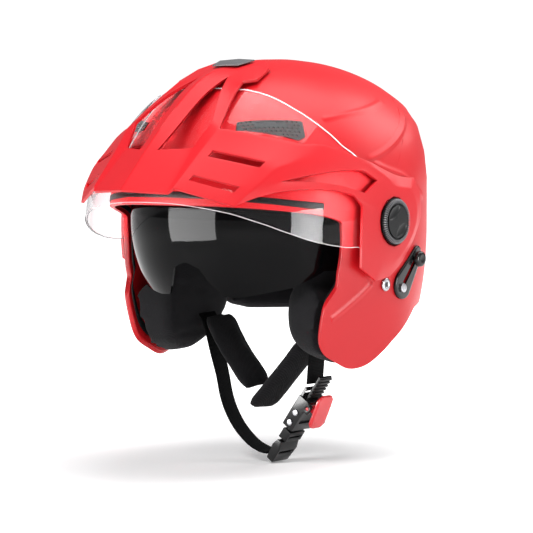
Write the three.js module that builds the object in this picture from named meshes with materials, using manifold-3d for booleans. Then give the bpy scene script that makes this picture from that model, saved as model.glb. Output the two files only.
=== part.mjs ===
// Open-face motorcycle helmet with peak, clear visor and drop-down sun shield.
// Millimetres, +Z up, face opening toward -Y, wearer's left side at +X.
// Origin: midpoint between the two visor pivots.
import * as THREE from 'three';
import Module from 'manifold-3d';
const wasm = await Module(); wasm.setup();
const M = wasm.Manifold;
const abs = Math.abs, hyp = Math.hypot, PI = Math.PI, RAD = PI / 180;
const lerp = (a, b, t) => a + (b - a) * t;
const L3 = (a, b, t) => a.map((v, i) => lerp(v, b[i], t));
const sst = (a, b, v) => { const t = Math.min(1, Math.max(0, (v - a) / (b - a))); return t * t * (3 - 2 * t); };
const interp = (x, X, Y) => { if (x <= X[0]) return Y[0]; for (let i = 1; i < X.length; i++) if (x <= X[i]) return lerp(Y[i - 1], Y[i], (x - X[i - 1]) / (X[i] - X[i - 1])); return Y[Y.length - 1]; };
const sub = (a, b) => [a[0] - b[0], a[1] - b[1], a[2] - b[2]];
const add = (a, b, s = 1) => [a[0] + b[0] * s, a[1] + b[1] * s, a[2] + b[2] * s];
const dot = (a, b) => a[0] * b[0] + a[1] * b[1] + a[2] * b[2];
const cross = (a, b) => [a[1] * b[2] - a[2] * b[1], a[2] * b[0] - a[0] * b[2], a[0] * b[1] - a[1] * b[0]];
const nrm = a => { const l = hyp(...a) || 1; return [a[0] / l, a[1] / l, a[2] / l]; };
const mir = p => [-p[0], p[1], p[2]];

// ---------- outer form ----------
const JN = [.9542, -.1845, -.2355], JD = 124.89, C0 = [0, 0, -10];
function shellF(p) {
  const [x, y, z] = p, dy = y - 10, ax = abs(x);
  const F1 = ((ax / 129) ** 2.1 + (abs(dy) / (dy < 0 ? 138 : 165)) ** 2.1 + (Math.max(z, 0) / 128.5) ** 2.1) ** (1 / 2.1);
  const s = Math.max(.3, 1 - .0001475 * Math.max(z - 34, 0) ** 1.6 - lerp(.05, .11, sst(10, 80, dy)) * (Math.max(-z, 0) / 95) ** 2.5);
  const n2 = dy < 0 ? 2.25 : 2.05;
  const F2 = ((ax / 119.5) ** n2 + (abs(dy) / (dy < 0 ? 156 : 129)) ** n2) ** (1 / n2) / s;
  const rho = hyp(Math.min(y, 0), z < 0 ? z * Math.min(1, Math.max(0, -y / 70)) : z * .75);
  const F3 = ((ax / 121) ** 2.2 + (rho / 158) ** 2.2) ** (1 / 2.2);
  const F4 = Math.max(.01, (JN[0] * ax + JN[1] * y + JN[2] * z) / JD);
  return (F1 ** 50 + F2 ** 50 + F3 ** 50 + F4 ** 50) ** .02;
}
function solve(F, d, off = 0, C = C0) {
  let a = 5, b = 300;
  for (let i = 0; i < 34; i++) { const m = (a + b) / 2; if (F(add(C, d, m)) < 1) a = m; else b = m; }
  return add(C, d, a + off);
}
function solX(F, y, z, off = 0) { let a = 2, b = 200; for (let i = 0; i < 34; i++) { const m = (a + b) / 2; if (F([m, y, z]) < 1) a = m; else b = m; } return [a + off, y, z]; }
function solAz(F, az, z, off = 0, cy = 0) { const c = Math.cos(az * RAD), s = Math.sin(az * RAD); let a = 2, b = 260; for (let i = 0; i < 34; i++) { const m = (a + b) / 2; if (F([m * c, cy + m * s, z]) < 1) a = m; else b = m; } return [(a + off) * c, cy + (a + off) * s, z]; }
// sun-shield pocket between shell and liner
const ramp = (y, z) => { const ph = Math.atan2(z, -y) / RAD, r = hyp(y, z), th = lerp(128, 62, sst(50, 88, r)); return Math.max(1 - sst(th, th + 18, abs(ph)) * (z > 0 || y > 0 ? 1 : 0), 1 - sst(18, 30, r)); };
function pocketF(p) { const r = hyp(p[1], p[2]); return ((abs(p[0]) / 95.2) ** 2.4 + (r / 103.6) ** 2.4) ** (1 / 2.4) * lerp(.72, 1, ramp(p[1], p[2])); }
const VPHI = [-60, -10, 5.6, 15, 23, 31, 38, 50, 57, 90], VR = [160, 156, 152, 146.5, 141.3, 137.5, 135, 131.6, 130.4, 130];
const KX = [0, .15, .3, .413, .526, .64, .714, .79, .865, .917, .962, 1], XX = [121.5, 120.7, 118.7, 116.2, 110.3, 101, 92.5, 81.5, 67.5, 55, 39, 0];
const visX = (k, ph) => lerp(121.5 * Math.max(0, 1 - k ** 2.5) ** .4, interp(k, KX, XX), sst(8, 30, ph));

// ---------- mesh builders ----------
function man(V, F) {
  const vp = new Float32Array(V.length * 3); V.forEach((p, i) => { vp[3 * i] = p[0]; vp[3 * i + 1] = p[1]; vp[3 * i + 2] = p[2]; });
  const T = []; for (const f of F) for (let i = 1; i < f.length - 1; i++) T.push(f[0], f[i], f[i + 1]);
  const mk = t => { const m = new wasm.Mesh({ numProp: 3, vertProperties: vp, triVerts: new Uint32Array(t) }); m.merge(); return new M(m); };
  let vol = 0; for (let i = 0; i < T.length; i += 3) vol += dot(V[T[i]], cross(V[T[i + 1]], V[T[i + 2]]));
  if (vol < 0) for (let i = 0; i < T.length; i += 3) { const t = T[i + 1]; T[i + 1] = T[i + 2]; T[i + 2] = t; }
  return mk(T);
}
// two matching grids A,B [i][j] closed into one skin; wrap joins last i to first
function slab(A, B, wrap = false) {
  const n = A.length, m = A[0].length, V = [...A.flat(), ...B.flat()], F = [], o = n * m, id = (i, j) => (i % n) * m + j;
  const N = wrap ? n : n - 1;
  for (let i = 0; i < N; i++) for (let j = 0; j < m - 1; j++) { const a = id(i, j), b = id(i + 1, j), c = id(i + 1, j + 1), d = id(i, j + 1); F.push([a, b, c, d]); F.push([d + o, c + o, b + o, a + o]); }
  for (let i = 0; i < N; i++) { const a = id(i, 0), b = id(i + 1, 0), c = id(i, m - 1), d = id(i + 1, m - 1); F.push([b, a, a + o, b + o]); F.push([c, d, d + o, c + o]); }
  if (!wrap) for (let j = 0; j < m - 1; j++) { const a = id(0, j), b = id(0, j + 1), c = id(n - 1, j), d = id(n - 1, j + 1); F.push([a, b, b + o, a + o]); F.push([d, c, c + o, d + o]); }
  return man(V, F);
}
// ring of section loops, S[i][j] closed in j; wrap closes in i, else capped
function sweep(S, wrap = false) {
  const n = S.length, m = S[0].length, V = S.flat(), F = [];
  for (let i = 0; i < (wrap ? n : n - 1); i++) for (let j = 0; j < m; j++) { const a = i * m + j, b = ((i + 1) % n) * m + j, c = ((i + 1) % n) * m + (j + 1) % m, d = i * m + (j + 1) % m; F.push([a, b, c, d]); }
  if (!wrap) { F.push([...Array(m).keys()]); F.push([...Array(m).keys()].reverse().map(j => (n - 1) * m + j)); }
  return man(V, F);
}
// cylinder along unit axis d, from centre c, heights h0..h1, radii r0,r1
function cyl(c, d, r0, r1, h0, h1, n = 24, ph = 0) {
  const u = nrm(cross(d, abs(d[2]) < .9 ? [0, 0, 1] : [1, 0, 0])), w = cross(d, u);
  const ring = (r, h) => Array.from({ length: n }, (_, i) => { const a = (i + ph) / n * 2 * PI; return add(add(add(c, d, h), u, r * Math.cos(a)), w, r * Math.sin(a)); });
  return sweep([ring(r0, h0), ring(r1, h1)]);
}
// box in a local frame: centre o, axes a,b,c with half sizes
function box(o, a, b, c, ha, hb, hc) {
  const S = s => [[-1, -1], [1, -1], [1, 1], [-1, 1]].map(([p, q]) => add(add(add(o, a, s * ha), b, p * hb), c, q * hc));
  return sweep([S(-1), S(1)]);
}
// strip of constant width along a path; side(i) gives width direction
function strip(P, wdir, w, t) {
  const S = P.map((p, i) => {
    const w0 = typeof wdir === 'function' ? wdir(i) : wdir;
    const tg = nrm(sub(P[Math.min(i + 1, P.length - 1)], P[Math.max(i - 1, 0)])), wd = nrm(add(w0, tg, -dot(w0, tg))), n = cross(tg, wd);
    return [[-1, -1], [1, -1], [1, 1], [-1, 1]].map(([a, b]) => add(add(p, wd, a * w / 2), n, b * t / 2));
  });
  return sweep(S);
}
// padded strip with rounded section
function pad(P, wdir, w, t, n = 10) {
  const S = P.map((p, i) => {
    const tg = nrm(sub(P[Math.min(i + 1, P.length - 1)], P[Math.max(i - 1, 0)])), wd = nrm(add(wdir, tg, -dot(wdir, tg))), nn = cross(tg, wd);
    const e = i === 0 || i === P.length - 1 ? .72 : 1;
    return Array.from({ length: n }, (_, k) => { const a = k / n * 2 * PI, c = Math.cos(a), s = Math.sin(a); return add(add(p, wd, Math.sign(c) * abs(c) ** .6 * w / 2 * (e + .1 > 1 ? 1 : e + .12)), nn, Math.sign(s) * abs(s) ** .8 * t / 2 * e); });
  });
  return sweep(S);
}
function rectRound(o, a, b, ha, hb, r, n = 3) { const P = []; for (const [sx, sy, k] of [[1, 1, 0], [-1, 1, 1], [-1, -1, 2], [1, -1, 3]]) for (let i = 0; i <= n; i++) { const t = (k + i / n) * PI / 2; P.push(add(add(o, a, sx * (ha - r) + r * Math.cos(t)), b, sy * (hb - r) + r * Math.sin(t))); } return P; }

const root = new THREE.Group(); root.name = 'helmet';
const mats = {};
const mat = (k, c, r, m = 0, extra = {}) => mats[k] || (mats[k] = new THREE.MeshStandardMaterial({ color: c, roughness: r, metalness: m, ...extra }));
const RED = () => mat('red', 0xd8202c, .42), BLK = () => mat('black', 0x16161a, .5), PADM = () => mat('fabric', 0x26252b, .95), EPS = () => mat('eps', 0x1c1c1f, .9),
  CLR = () => mat('clear', 0xf0e6ea, .08, 0, { transparent: true, opacity: .25 }), SMK = () => mat('smoke', 0x1c1c20, .1, 0, { transparent: true, opacity: .75 }),
  STL = () => mat('steel', 0xb9b9bd, .3, 1), RTAB = () => mat('redtab', 0xe01822, .4), GREY = () => mat('grey', 0x55565b, .45), RUB = () => mat('rubber', 0x101012, .8), WEB = () => mat('webbing', 0x141416, .9);
function put(name, m, material) {
  const g = m.getMesh(), geo = new THREE.BufferGeometry();
  geo.setAttribute('position', new THREE.BufferAttribute(new Float32Array(g.vertProperties), 3));
  geo.setIndex(Array.from(g.triVerts)); geo.computeVertexNormals();
  const mesh = new THREE.Mesh(geo, material); mesh.name = name; root.add(mesh); return m;
}
const mirM = m => m.mirror([1, 0, 0]);
const both = (n, m, material) => { put('left_' + n, m, material); put('right_' + n, mirM(m), material); };

// ---------- rim of the shell ----------
const rimNear = [[90, 13.5], [80, 13.5], [70, 13.2], [60, 12.2], [50, 10.6], [42, 8.8], [35, 6.8]].map(([a, z]) => solAz(shellF, -a, z))
  .concat([[-53.5, 1.5], [-51, -5], [-50.2, -24], [-51.5, -40], [-51.2, -50], [-55.5, -57.5], [-59.6, -65], [-60.2, -75.5], [-58.9, -89.5], [-56, -97.5], [-50, -103.6], [-38.4, -109.4], [-24.5, -115.2], [-12.8, -115.6], [-2, -112.4], [9.9, -104], [19.9, -94.8], [33, -84.6], [44, -76.4], [54, -71]].map(([y, z]) => solX(shellF, y, z)))
  .concat([[38, -69.2], [50, -70], [62, -72.4], [76, -75.6], [90, -77]].map(([a, z]) => solAz(shellF, a, z)));
const rim = rimNear.concat(rimNear.slice(1, -1).reverse().map(mir));
const POLE = [0, Math.cos(54 * RAD), Math.sin(54 * RAD)];
const slerp = (a, b, t) => { const o = Math.acos(Math.min(1, Math.max(-1, dot(a, b)))); if (o < 1e-5) return a; return a.map((v, i) => (v * Math.sin((1 - t) * o) + b[i] * Math.sin(t * o)) / Math.sin(o)); };
function domeBody(rimPts, T, outer, inner) {
  const n = rimPts.length, A = [], B = [];
  rimPts.forEach(p => { const d = nrm(sub(p, C0)); A.push(T.map(t => outer(nrm(slerp(d, POLE, t))))); B.push(T.map(t => inner(nrm(slerp(d, POLE, t))))); });
  const m = T.length, V = [...A.flat(), ...B.flat(), outer(POLE), inner(POLE)], F = [], o = n * m, po = 2 * o, pi = 2 * o + 1;
  for (let i = 0; i < n; i++) { const k = (i + 1) % n; for (let j = 0; j < m - 1; j++) { const a = i * m + j, b = k * m + j; F.push([a, b, b + 1, a + 1]); F.push([a + 1 + o, b + 1 + o, b + o, a + o]); } F.push([i * m + m - 1, k * m + m - 1, po]); F.push([k * m + m - 1 + o, i * m + m - 1 + o, pi]); F.push([k * m, i * m, i * m + o, k * m + o]); }
  return man(V, F);
}
function domeCut(T, surf, zOf, outer, inner) {
  const keepRim = rim.map(p => { const d = nrm(sub(p, C0)); let a = 0, b = .75; for (let i = 0; i < 150; i++) { const t = i / 200, q = solve(surf, nrm(slerp(d, POLE, t))); if (q[2] >= zOf(q[1])) { a = Math.max(0, t - .005); b = t; break; } } for (let i = 0; i < 12; i++) { const m = (a + b) / 2, q = solve(surf, nrm(slerp(d, POLE, m))); if (q[2] >= zOf(q[1])) b = m; else a = m; } return [d, b]; });
  const n = rim.length, A = [], B = [], m = T.length;
  for (const [d, t0] of keepRim) { A.push(T.map(t => outer(nrm(slerp(d, POLE, lerp(t0, 1, t)))))); B.push(T.map(t => inner(nrm(slerp(d, POLE, lerp(t0, 1, t)))))); }
  const V = [...A.flat(), ...B.flat(), outer(POLE), inner(POLE)], F = [], o = n * m, po = 2 * o, pi = 2 * o + 1;
  for (let i = 0; i < n; i++) { const k = (i + 1) % n; for (let j = 0; j < m - 1; j++) { const a = i * m + j, b = k * m + j; F.push([a, b, b + 1, a + 1]); F.push([a + 1 + o, b + 1 + o, b + o, a + o]); } F.push([i * m + m - 1, k * m + m - 1, po]); F.push([k * m + m - 1 + o, i * m + m - 1 + o, pi]); F.push([k * m, i * m, i * m + o, k * m + o]); }
  return man(V, F);
}
const TS = [0, .024, .05, .13, .22, .31, .4, .5, .61, .73, .86];
const band = (o, i) => domeBody(rim, TS, d => solve(shellF, d, o), d => solve(shellF, d, i));
const inBand = band(5, -5.6), outBand = band(.3, -9);
let shell = domeBody(rim, TS, d => solve(shellF, d), d => solve(shellF, d, -4.5));
// side bores for pivots, strap rivets, lever shaft
for (const s of [1, -1]) {
  shell = shell.subtract(cyl([0, 0, 0], [s, 0, 0], 5.4, 5.4, 100, 130, 16));
  shell = shell.subtract(cyl([0, .3, -49.5], [s, 0, 0], 2.6, 2.6, 100, 130, 12));
}
// lever slot in the left side
const LV0 = [0, 22.5, -50], LV1 = [0, 43, -29.5], LD = nrm(sub(LV1, LV0));
shell = shell.subtract(box([116, 34.54, -38.46], LD, [1, 0, 0], nrm(cross(LD, [1, 0, 0])), 16.5, 12, 2.4));
// front vent openings
const VC = [69.5, -84.7, 69.3], VNn = nrm([.50, -.62, .61]);
const vu = nrm(sub([83.8, -62, 77], [42.9, -95.3, 76.2])), vU = nrm(add(vu, VNn, -dot(vu, VNn))), vV = cross(VNn, vU);
const vOut = [[42.9, -95.3, 76.2], [83.8, -62, 77], [90.2, -66.6, 64.8], [87.9, -72.4, 61.8], [45, -99.1, 70.1]].map(p => [dot(sub(p, VC), vU), dot(sub(p, VC), vV)]);
const insetPoly = (P, k) => { const c = [P.reduce((s, p) => s + p[0], 0) / P.length, P.reduce((s, p) => s + p[1], 0) / P.length]; return P.map(p => { const l = hyp(p[0] - c[0], p[1] - c[1]); return [c[0] + (p[0] - c[0]) * (l - k) / l, c[1] + (p[1] - c[1]) * (l - k) / l]; }); };
function ventPrism(P, h0, h1) { const mk = h => P.map(p => add(add(add(VC, VNn, h), vU, p[0]), vV, p[1])); return sweep([mk(h0), mk(h1)]); }
const ventHole = ventPrism(insetPoly(vOut, 1.2), -18, 18);
shell = shell.subtract(ventHole).subtract(mirM(ventHole));
put('outer_shell', shell, RED());

// ---------- front vents ----------
{
  const so = (k) => d => solve(shellF, d, k);
  // plate following the shell: intersect a thin shell layer with the vent outline
  const layer = (o, i) => { const T = [0, .12, .24, .36, .48, .6, .72, .86]; return domeBody(rim.filter((_, k) => k % 1 === 0), T, d => solve(shellF, d, o), d => solve(shellF, d, i)); };
  const L = layer(.7, -3.4);
  let g = L.intersect(ventPrism(insetPoly(vOut, 1.6), -14, 14));
  const sh = [];
  for (let r = 0; r < 2; r++) for (let c = 0; c < 3; c++) sh.push([lerp(12, 21.5, c / 2) + r * 2.2, -2.2 - r * 4.2 + c * .2]);
  for (let c = 0; c < 3; c++) sh.push([-19 + c * 4.6, .8 - (c % 2) * 3.6]);
  for (const [a, b] of sh) g = g.subtract(cyl(add(add(VC, vU, a), vV, b), VNn, 1.55, 1.55, -14, 14, 6));
  const top = add(add(add(VC, vU, -1), vV, 7.4), VNn, 0), sp = solve(shellF, nrm(sub(top, C0)), 0), n = VNn;
  g = g.subtract(box(add(sp, n, 1.1), vU, n, vV, 10.6, 2.1, 1.9));
  both('vent_grille', g, BLK());
  const tab = box(add(sp, n, -.15), vU, n, vV, 4.6, .6, 1.5);
  both('vent_slider', tab, BLK());
}

// ---------- linings ----------
const headF = (a, yf, yb, zt) => p => { const dy = p[1] - 4; return ((abs(p[0]) / a) ** 2.25 + (abs(dy) / (dy < 0 ? yf : yb)) ** 2.25 + (Math.max(p[2], 0) / zt) ** 2.25) ** (1 / 2.25); };
const epsIn = headF(85, 99, 105, 101), comIn = headF(77, 91, 97, 93), comOut = headF(83.7, 97.7, 103.7, 99.7);
const minSolve = (d, off) => { const a = solve(shellF, d, off), b = solve(pocketF, d, 0); return dot(sub(a, C0), d) < dot(sub(b, C0), d) ? a : b; };
const zE = y => interp(y, [-128, -80, -47, -40, -22, -4, 14, 30, 42, 52, 60, 134], [23, 18, 9, 1, -3, -4, -6, -16, -32, -46, -56, -60]);
const epsT = [0, .07, .16, .26, .36, .47, .58, .7, .85], epsFat = domeCut([0, .2, .5, .8], shellF, y => zE(y) - 2, d => solve(shellF, d, -3), d => solve(epsIn, d, -.6));
let eps = domeCut(epsT, shellF, zE, d => minSolve(d, -8.2), d => solve(epsIn, d));
for (const s of [1, -1]) eps = eps.subtract(cyl([0, 0, 0], [s, 0, 0], 14, 14, 91, 130, 16)).subtract(cyl([0, .3, -49.5], [s, 0, 0], 16, 16, 93, 130, 12));
eps = eps.subtract(box([116, 31, -42], LD, [1, 0, 0], nrm(cross(LD, [1, 0, 0])), 27, 14, 9));
eps = eps.subtract(band(2, -4.8));
put('impact_liner', eps, EPS());
put('comfort_liner', domeCut([0, .12, .25, .38, .52, .68, .84], comOut, y => interp(y, [-92, -70, -50, -30, 0, 40, 80, 108], [32, 30, 21, 9, -3, -14, -24, -32]), d => solve(comOut, d), d => solve(comIn, d)), PADM());
const trimQ = (a, b, o, i) => sweep(rim.map(p => { const d = nrm(sub(p, C0)), u = nrm(slerp(d, POLE, a)), v = nrm(slerp(d, POLE, b)); const q = (e, k) => solve(shellF, e, k); return [q(u, o), q(v, o), q(v, i), q(u, i)]; }), true);
const trimFat = trimQ(-.008, .06, -2, -12);
const rx = solX(shellF, .3, -49.5)[0], ax = rx - 10.4;
const wl = [[ax - 2.2, -2.6, -62.3], [103, -3.2, -67], [93, -4.2, -73.5], [80, -5, -80], [66, -6, -85], [58.5, -7, -91], [56.2, -7.6, -101], [55.6, -8, -112], [54.6, -8, -124], [54, -8, -130.5]];
const wr = [[-(ax - 2.2), -2.2, -62.3], [-103, -2.6, -65], [-93, -3.2, -68.5], [-80, -4, -72], [-66, -5, -76], [-57.5, -6, -82], [-51.5, -7, -95], [-46, -8, -112], [-40.5, -8, -130], [-36.6, -8, -146], [-31, -8, -159], [-22, -8, -171.5], [-9, -8, -182.5], [4, -8, -188], [13, -8, -189]];

// cheek pads: pillow between an outer wall and the face
const padOut = [[-40, -9], [-49, -24], [-50, -46], [-57.5, -62], [-58.8, -75], [-57.4, -88], [-49.5, -101.5], [-38.5, -107.6], [-24.5, -113], [-11, -112.6], [6, -104], [18, -93.5], [34, -81], [42, -66], [40, -50], [30, -34], [14, -20], [-8, -11], [-25, -7]];
const padC = [-14, -62];
const padWall = (y, z) => { const a = solX(shellF, y, z)[0] - 6.2; const r = hyp(y, z); const inPocket = z > -62 && r < 107; const b = solX(p => ((abs(p[0]) / 96.5) ** 2.4 + (r / 104) ** 2.4) ** (1 / 2.4), y, z)[0] - .6; return inPocket && r < 103 ? Math.min(a, Math.max(b, 58)) : a; };
{
  const R = [0, .35, .62, .82, .94, 1], n = padOut.length, V = [], F = [];
  const face = (y, z) => 59 + 8 * sst(-70, -5, z) + 7 * sst(-92, -112, z) + 5 * sst(5, 40, y);
  const lay = [];
  for (const r of R.slice(1)) for (const p of padOut) { const y = lerp(padC[0], p[0], r), z = lerp(padC[1], p[1], r), w = padWall(y, z), f = face(y, z), t = Math.max(5, (w - f)) * Math.pow(Math.max(0, 1 - r ** 9), .42) * .94 + 5.5; lay.push([y, z, w, Math.max(w - t, f)]); }
  const cw = padWall(...padC), cf = face(...padC);
  lay.forEach(q => V.push([q[2], q[0], q[1]])); lay.forEach(q => V.push([q[3], q[0], q[1]]));
  const o = lay.length, c1 = 2 * o, c2 = 2 * o + 1; V.push([cw, ...padC], [cf, ...padC]);
  for (let i = 0; i < n; i++) { const k = (i + 1) % n; for (let j = 0; j < R.length - 2; j++) { const a = j * n + i, b = j * n + k, c = (j + 1) * n + k, d = (j + 1) * n + i; F.push([a, b, c, d]); F.push([d + o, c + o, b + o, a + o]); } F.push([c1, k, i]); F.push([c2, i + o, k + o]); const a = (R.length - 2) * n + i, b = (R.length - 2) * n + k; F.push([a, b, b + o, a + o]); }
  let cp = man(V, F);
  const keep = (m, g = 1) => m.subtract(inBand).subtract(trimFat).subtract(epsFat).subtract(box([g * (ax + 5), .3, -54.5], [1, 0, 0], [0, 1, 0], [0, 0, 1], 7, 14.6, 12));
  const slotOf = (w, sg) => strip([[50, w[5][1], w[5][2] - 5.5]].concat(w.slice(0, 5).reverse()).concat([[113, -2, w[0][2] + 3.5]]), [0, 1, 0], 25, 5.4);
  const slotL = slotOf(wl, 1), slotR = slotOf(wr.map(mir), 1);
  put('left_cheek_pad', keep(cp.subtract(slotL)), PADM());
  put('right_cheek_pad', keep(mirM(cp.subtract(slotR)), -1), PADM());
}
// neck roll
{
  const S = []; for (let a = 31; a <= 149; a += 118 / 22) {
    const sec = []; const e = Math.min(1, Math.min(a - 31, 149 - a) / 12 * .45 + .55);
    for (let k = 0; k < 10; k++) { const t = k / 10 * 2 * PI, z = -71 + Math.sin(t) * 12 * e; const o = solAz(shellF, a, Math.max(z, -76), -5.6), inn = solAz(comIn, a, -40, 0, 4); const w = .5 + .5 * Math.cos(t); sec.push([lerp(inn[0], o[0], lerp(.08, 1, w)), lerp(inn[1], o[1], lerp(.08, 1, w)), z]); }
    S.push(sec);
  }
  put('neck_roll', sweep(S).subtract(inBand).subtract(trimFat).subtract(epsFat), PADM());
}
// rubber trim inside the rim
{
  put('edge_trim', trimQ(.014, .034, -5.7, -6.7), RUB());
}
// dark strip along the brow
{
  const A = []; for (let i = 0; i <= 24; i++) { const az = lerp(-32.2, -147.8, i / 24), k = abs(az + 90), z0 = interp(k, [0, 20, 40, 58], [19.2, 18.6, 14.6, 9.9]), z1 = interp(k, [0, 20, 40, 58], [24, 23.4, 19.4, 15.3]); A.push([z0, z1].map(z => [az, z])); }
  put('brow_strip', slab(A.map(r => r.map(([a, z]) => solAz(shellF, a, z, .6))), A.map(r => r.map(([a, z]) => solAz(shellF, a, z, .25)))), BLK());
}

// ---------- peak ----------
const CV = [[0.0,-178.7,26.0],[13.9,-174.7,25.4],[36.5,-168.1,24.4],[39.6,-164.6,28.0],[0.0,-171.9,33.1],[12.5,-167.7,32.9],[35.6,-159.9,32.3],[40.4,-157.2,35.0],[0.0,-168.0,37.2],[11.7,-163.7,37.1],[35.0,-155.2,37.0],[40.9,-153.0,39.1],[0.0,-155.1,50.8],[9.3,-150.8,51.2],[33.3,-139.6,52.1],[42.4,-138.9,52.5],[0.0,-150.7,55.4],[8.5,-146.4,55.9],[32.7,-134.3,57.2],[42.9,-134.2,57.1],[0.0,-133.2,72.4],[10.5,-128.5,71.0],[38.7,-118.1,76.9],[46.6,-118.6,72.2],[0.0,-115.1,88.6],[11.3,-111.5,85.6],[27.7,-96.0,97.8],[41.4,-103.4,86.4],[0.0,-92.8,106.4],[13.0,-91.5,102.3],[20.0,-81.0,106.2],[35.2,-86.4,99.8],[0.0,-73.1,116.6],[14.7,-68.9,112.5],[32.5,-73.0,109.0],[0.0,-57.0,120.3],[17.0,-54.0,119.6],[39.5,-63.5,110.3],[0.0,-30.0,127.3],[23.8,-33.7,125.6],[36.3,-44.0,119.8],[44.5,-161.3,26.2],[70.3,-143.5,16.7],[77.0,-138.9,14.2],[46.0,-154.1,33.5],[74.9,-136.4,24.5],[82.0,-131.4,21.8],[46.8,-149.8,37.6],[77.3,-132.0,28.9],[84.7,-126.9,26.1],[49.1,-135.6,51.2],[83.2,-116.3,42.8],[91.4,-110.5,39.9],[49.7,-130.7,55.8],[84.5,-110.4,47.3],[92.8,-104.3,44.4],[53.5,-114.1,71.0],[88.0,-88.2,63.0],[96.0,-80.5,60.0],[91.0,-118.4,23.8],[107.2,-91.6,27.4],[116.9,-65.6,26.1],[121.3,-48.5,21.4],[96.5,-107.0,32.4],[108.4,-85.8,32.5],[118.2,-58.5,28.8],[122.9,-35.5,22.8],[109.9,-77.8,38.6],[116.9,-53.5,40.7],[120.4,-35.6,40.5],[123.3,-20.1,32.3],[101.6,-70.5,60.6],[107.1,-62.6,59.2],[117.6,-40.6,50.9],[119.9,-22.9,45.8],[119.7,12.3,33.8],[100.6,-90.8,46.5],[110.9,-67.7,47.5],[117.2,-48.0,45.2],[121.0,-25.7,43.9],[123.9,-1.7,33.0],[123.3,-39.2,13.2],[123.7,-40.5,0.8],[123.4,-40.8,-16.8],[122.3,-39.7,-34.9],[122.8,-20.8,-45.6],[120.3,1.0,-43.0],[121.2,15.0,-34.0],[120.8,34.0,-16.0],[119.5,45.0,2.0],[119.5,44.5,20.0],[120.4,33.5,33.5],[125.3,-17.9,7.9],[124.3,-34.7,15.3],[125.3,-18.6,6.2],[124.4,-29.9,10.1],[125.3,-19.6,0.4],[124.4,-31.1,0.6],[125.3,-18.1,-7.5],[124.4,-30.6,-12.6],[125.3,-14.7,-12.9],[124.3,-28.5,-25.0],[125.3,-8.2,-17.8],[124.4,-15.1,-33.1],[125.3,0.5,-19.6],[124.4,0.8,-32.5],[125.3,7.9,-17.9],[124.4,11.8,-26.8],[125.3,17.7,-8.3],[124.4,26.7,-12.6],[125.3,19.6,0.9],[124.4,33.6,1.5],[125.3,17.9,8.0],[124.4,32.5,14.6],[125.3,13.9,13.9],[124.4,24.7,24.7],[125.3,6.7,18.4],[124.4,9.8,26.9],[125.3,-1.0,19.6],[124.4,-1.4,26.9],[125.3,-10.3,16.6],[124.4,-15.7,25.2],[125.3,-16.5,10.6],[124.4,-27.0,17.3]];
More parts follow.
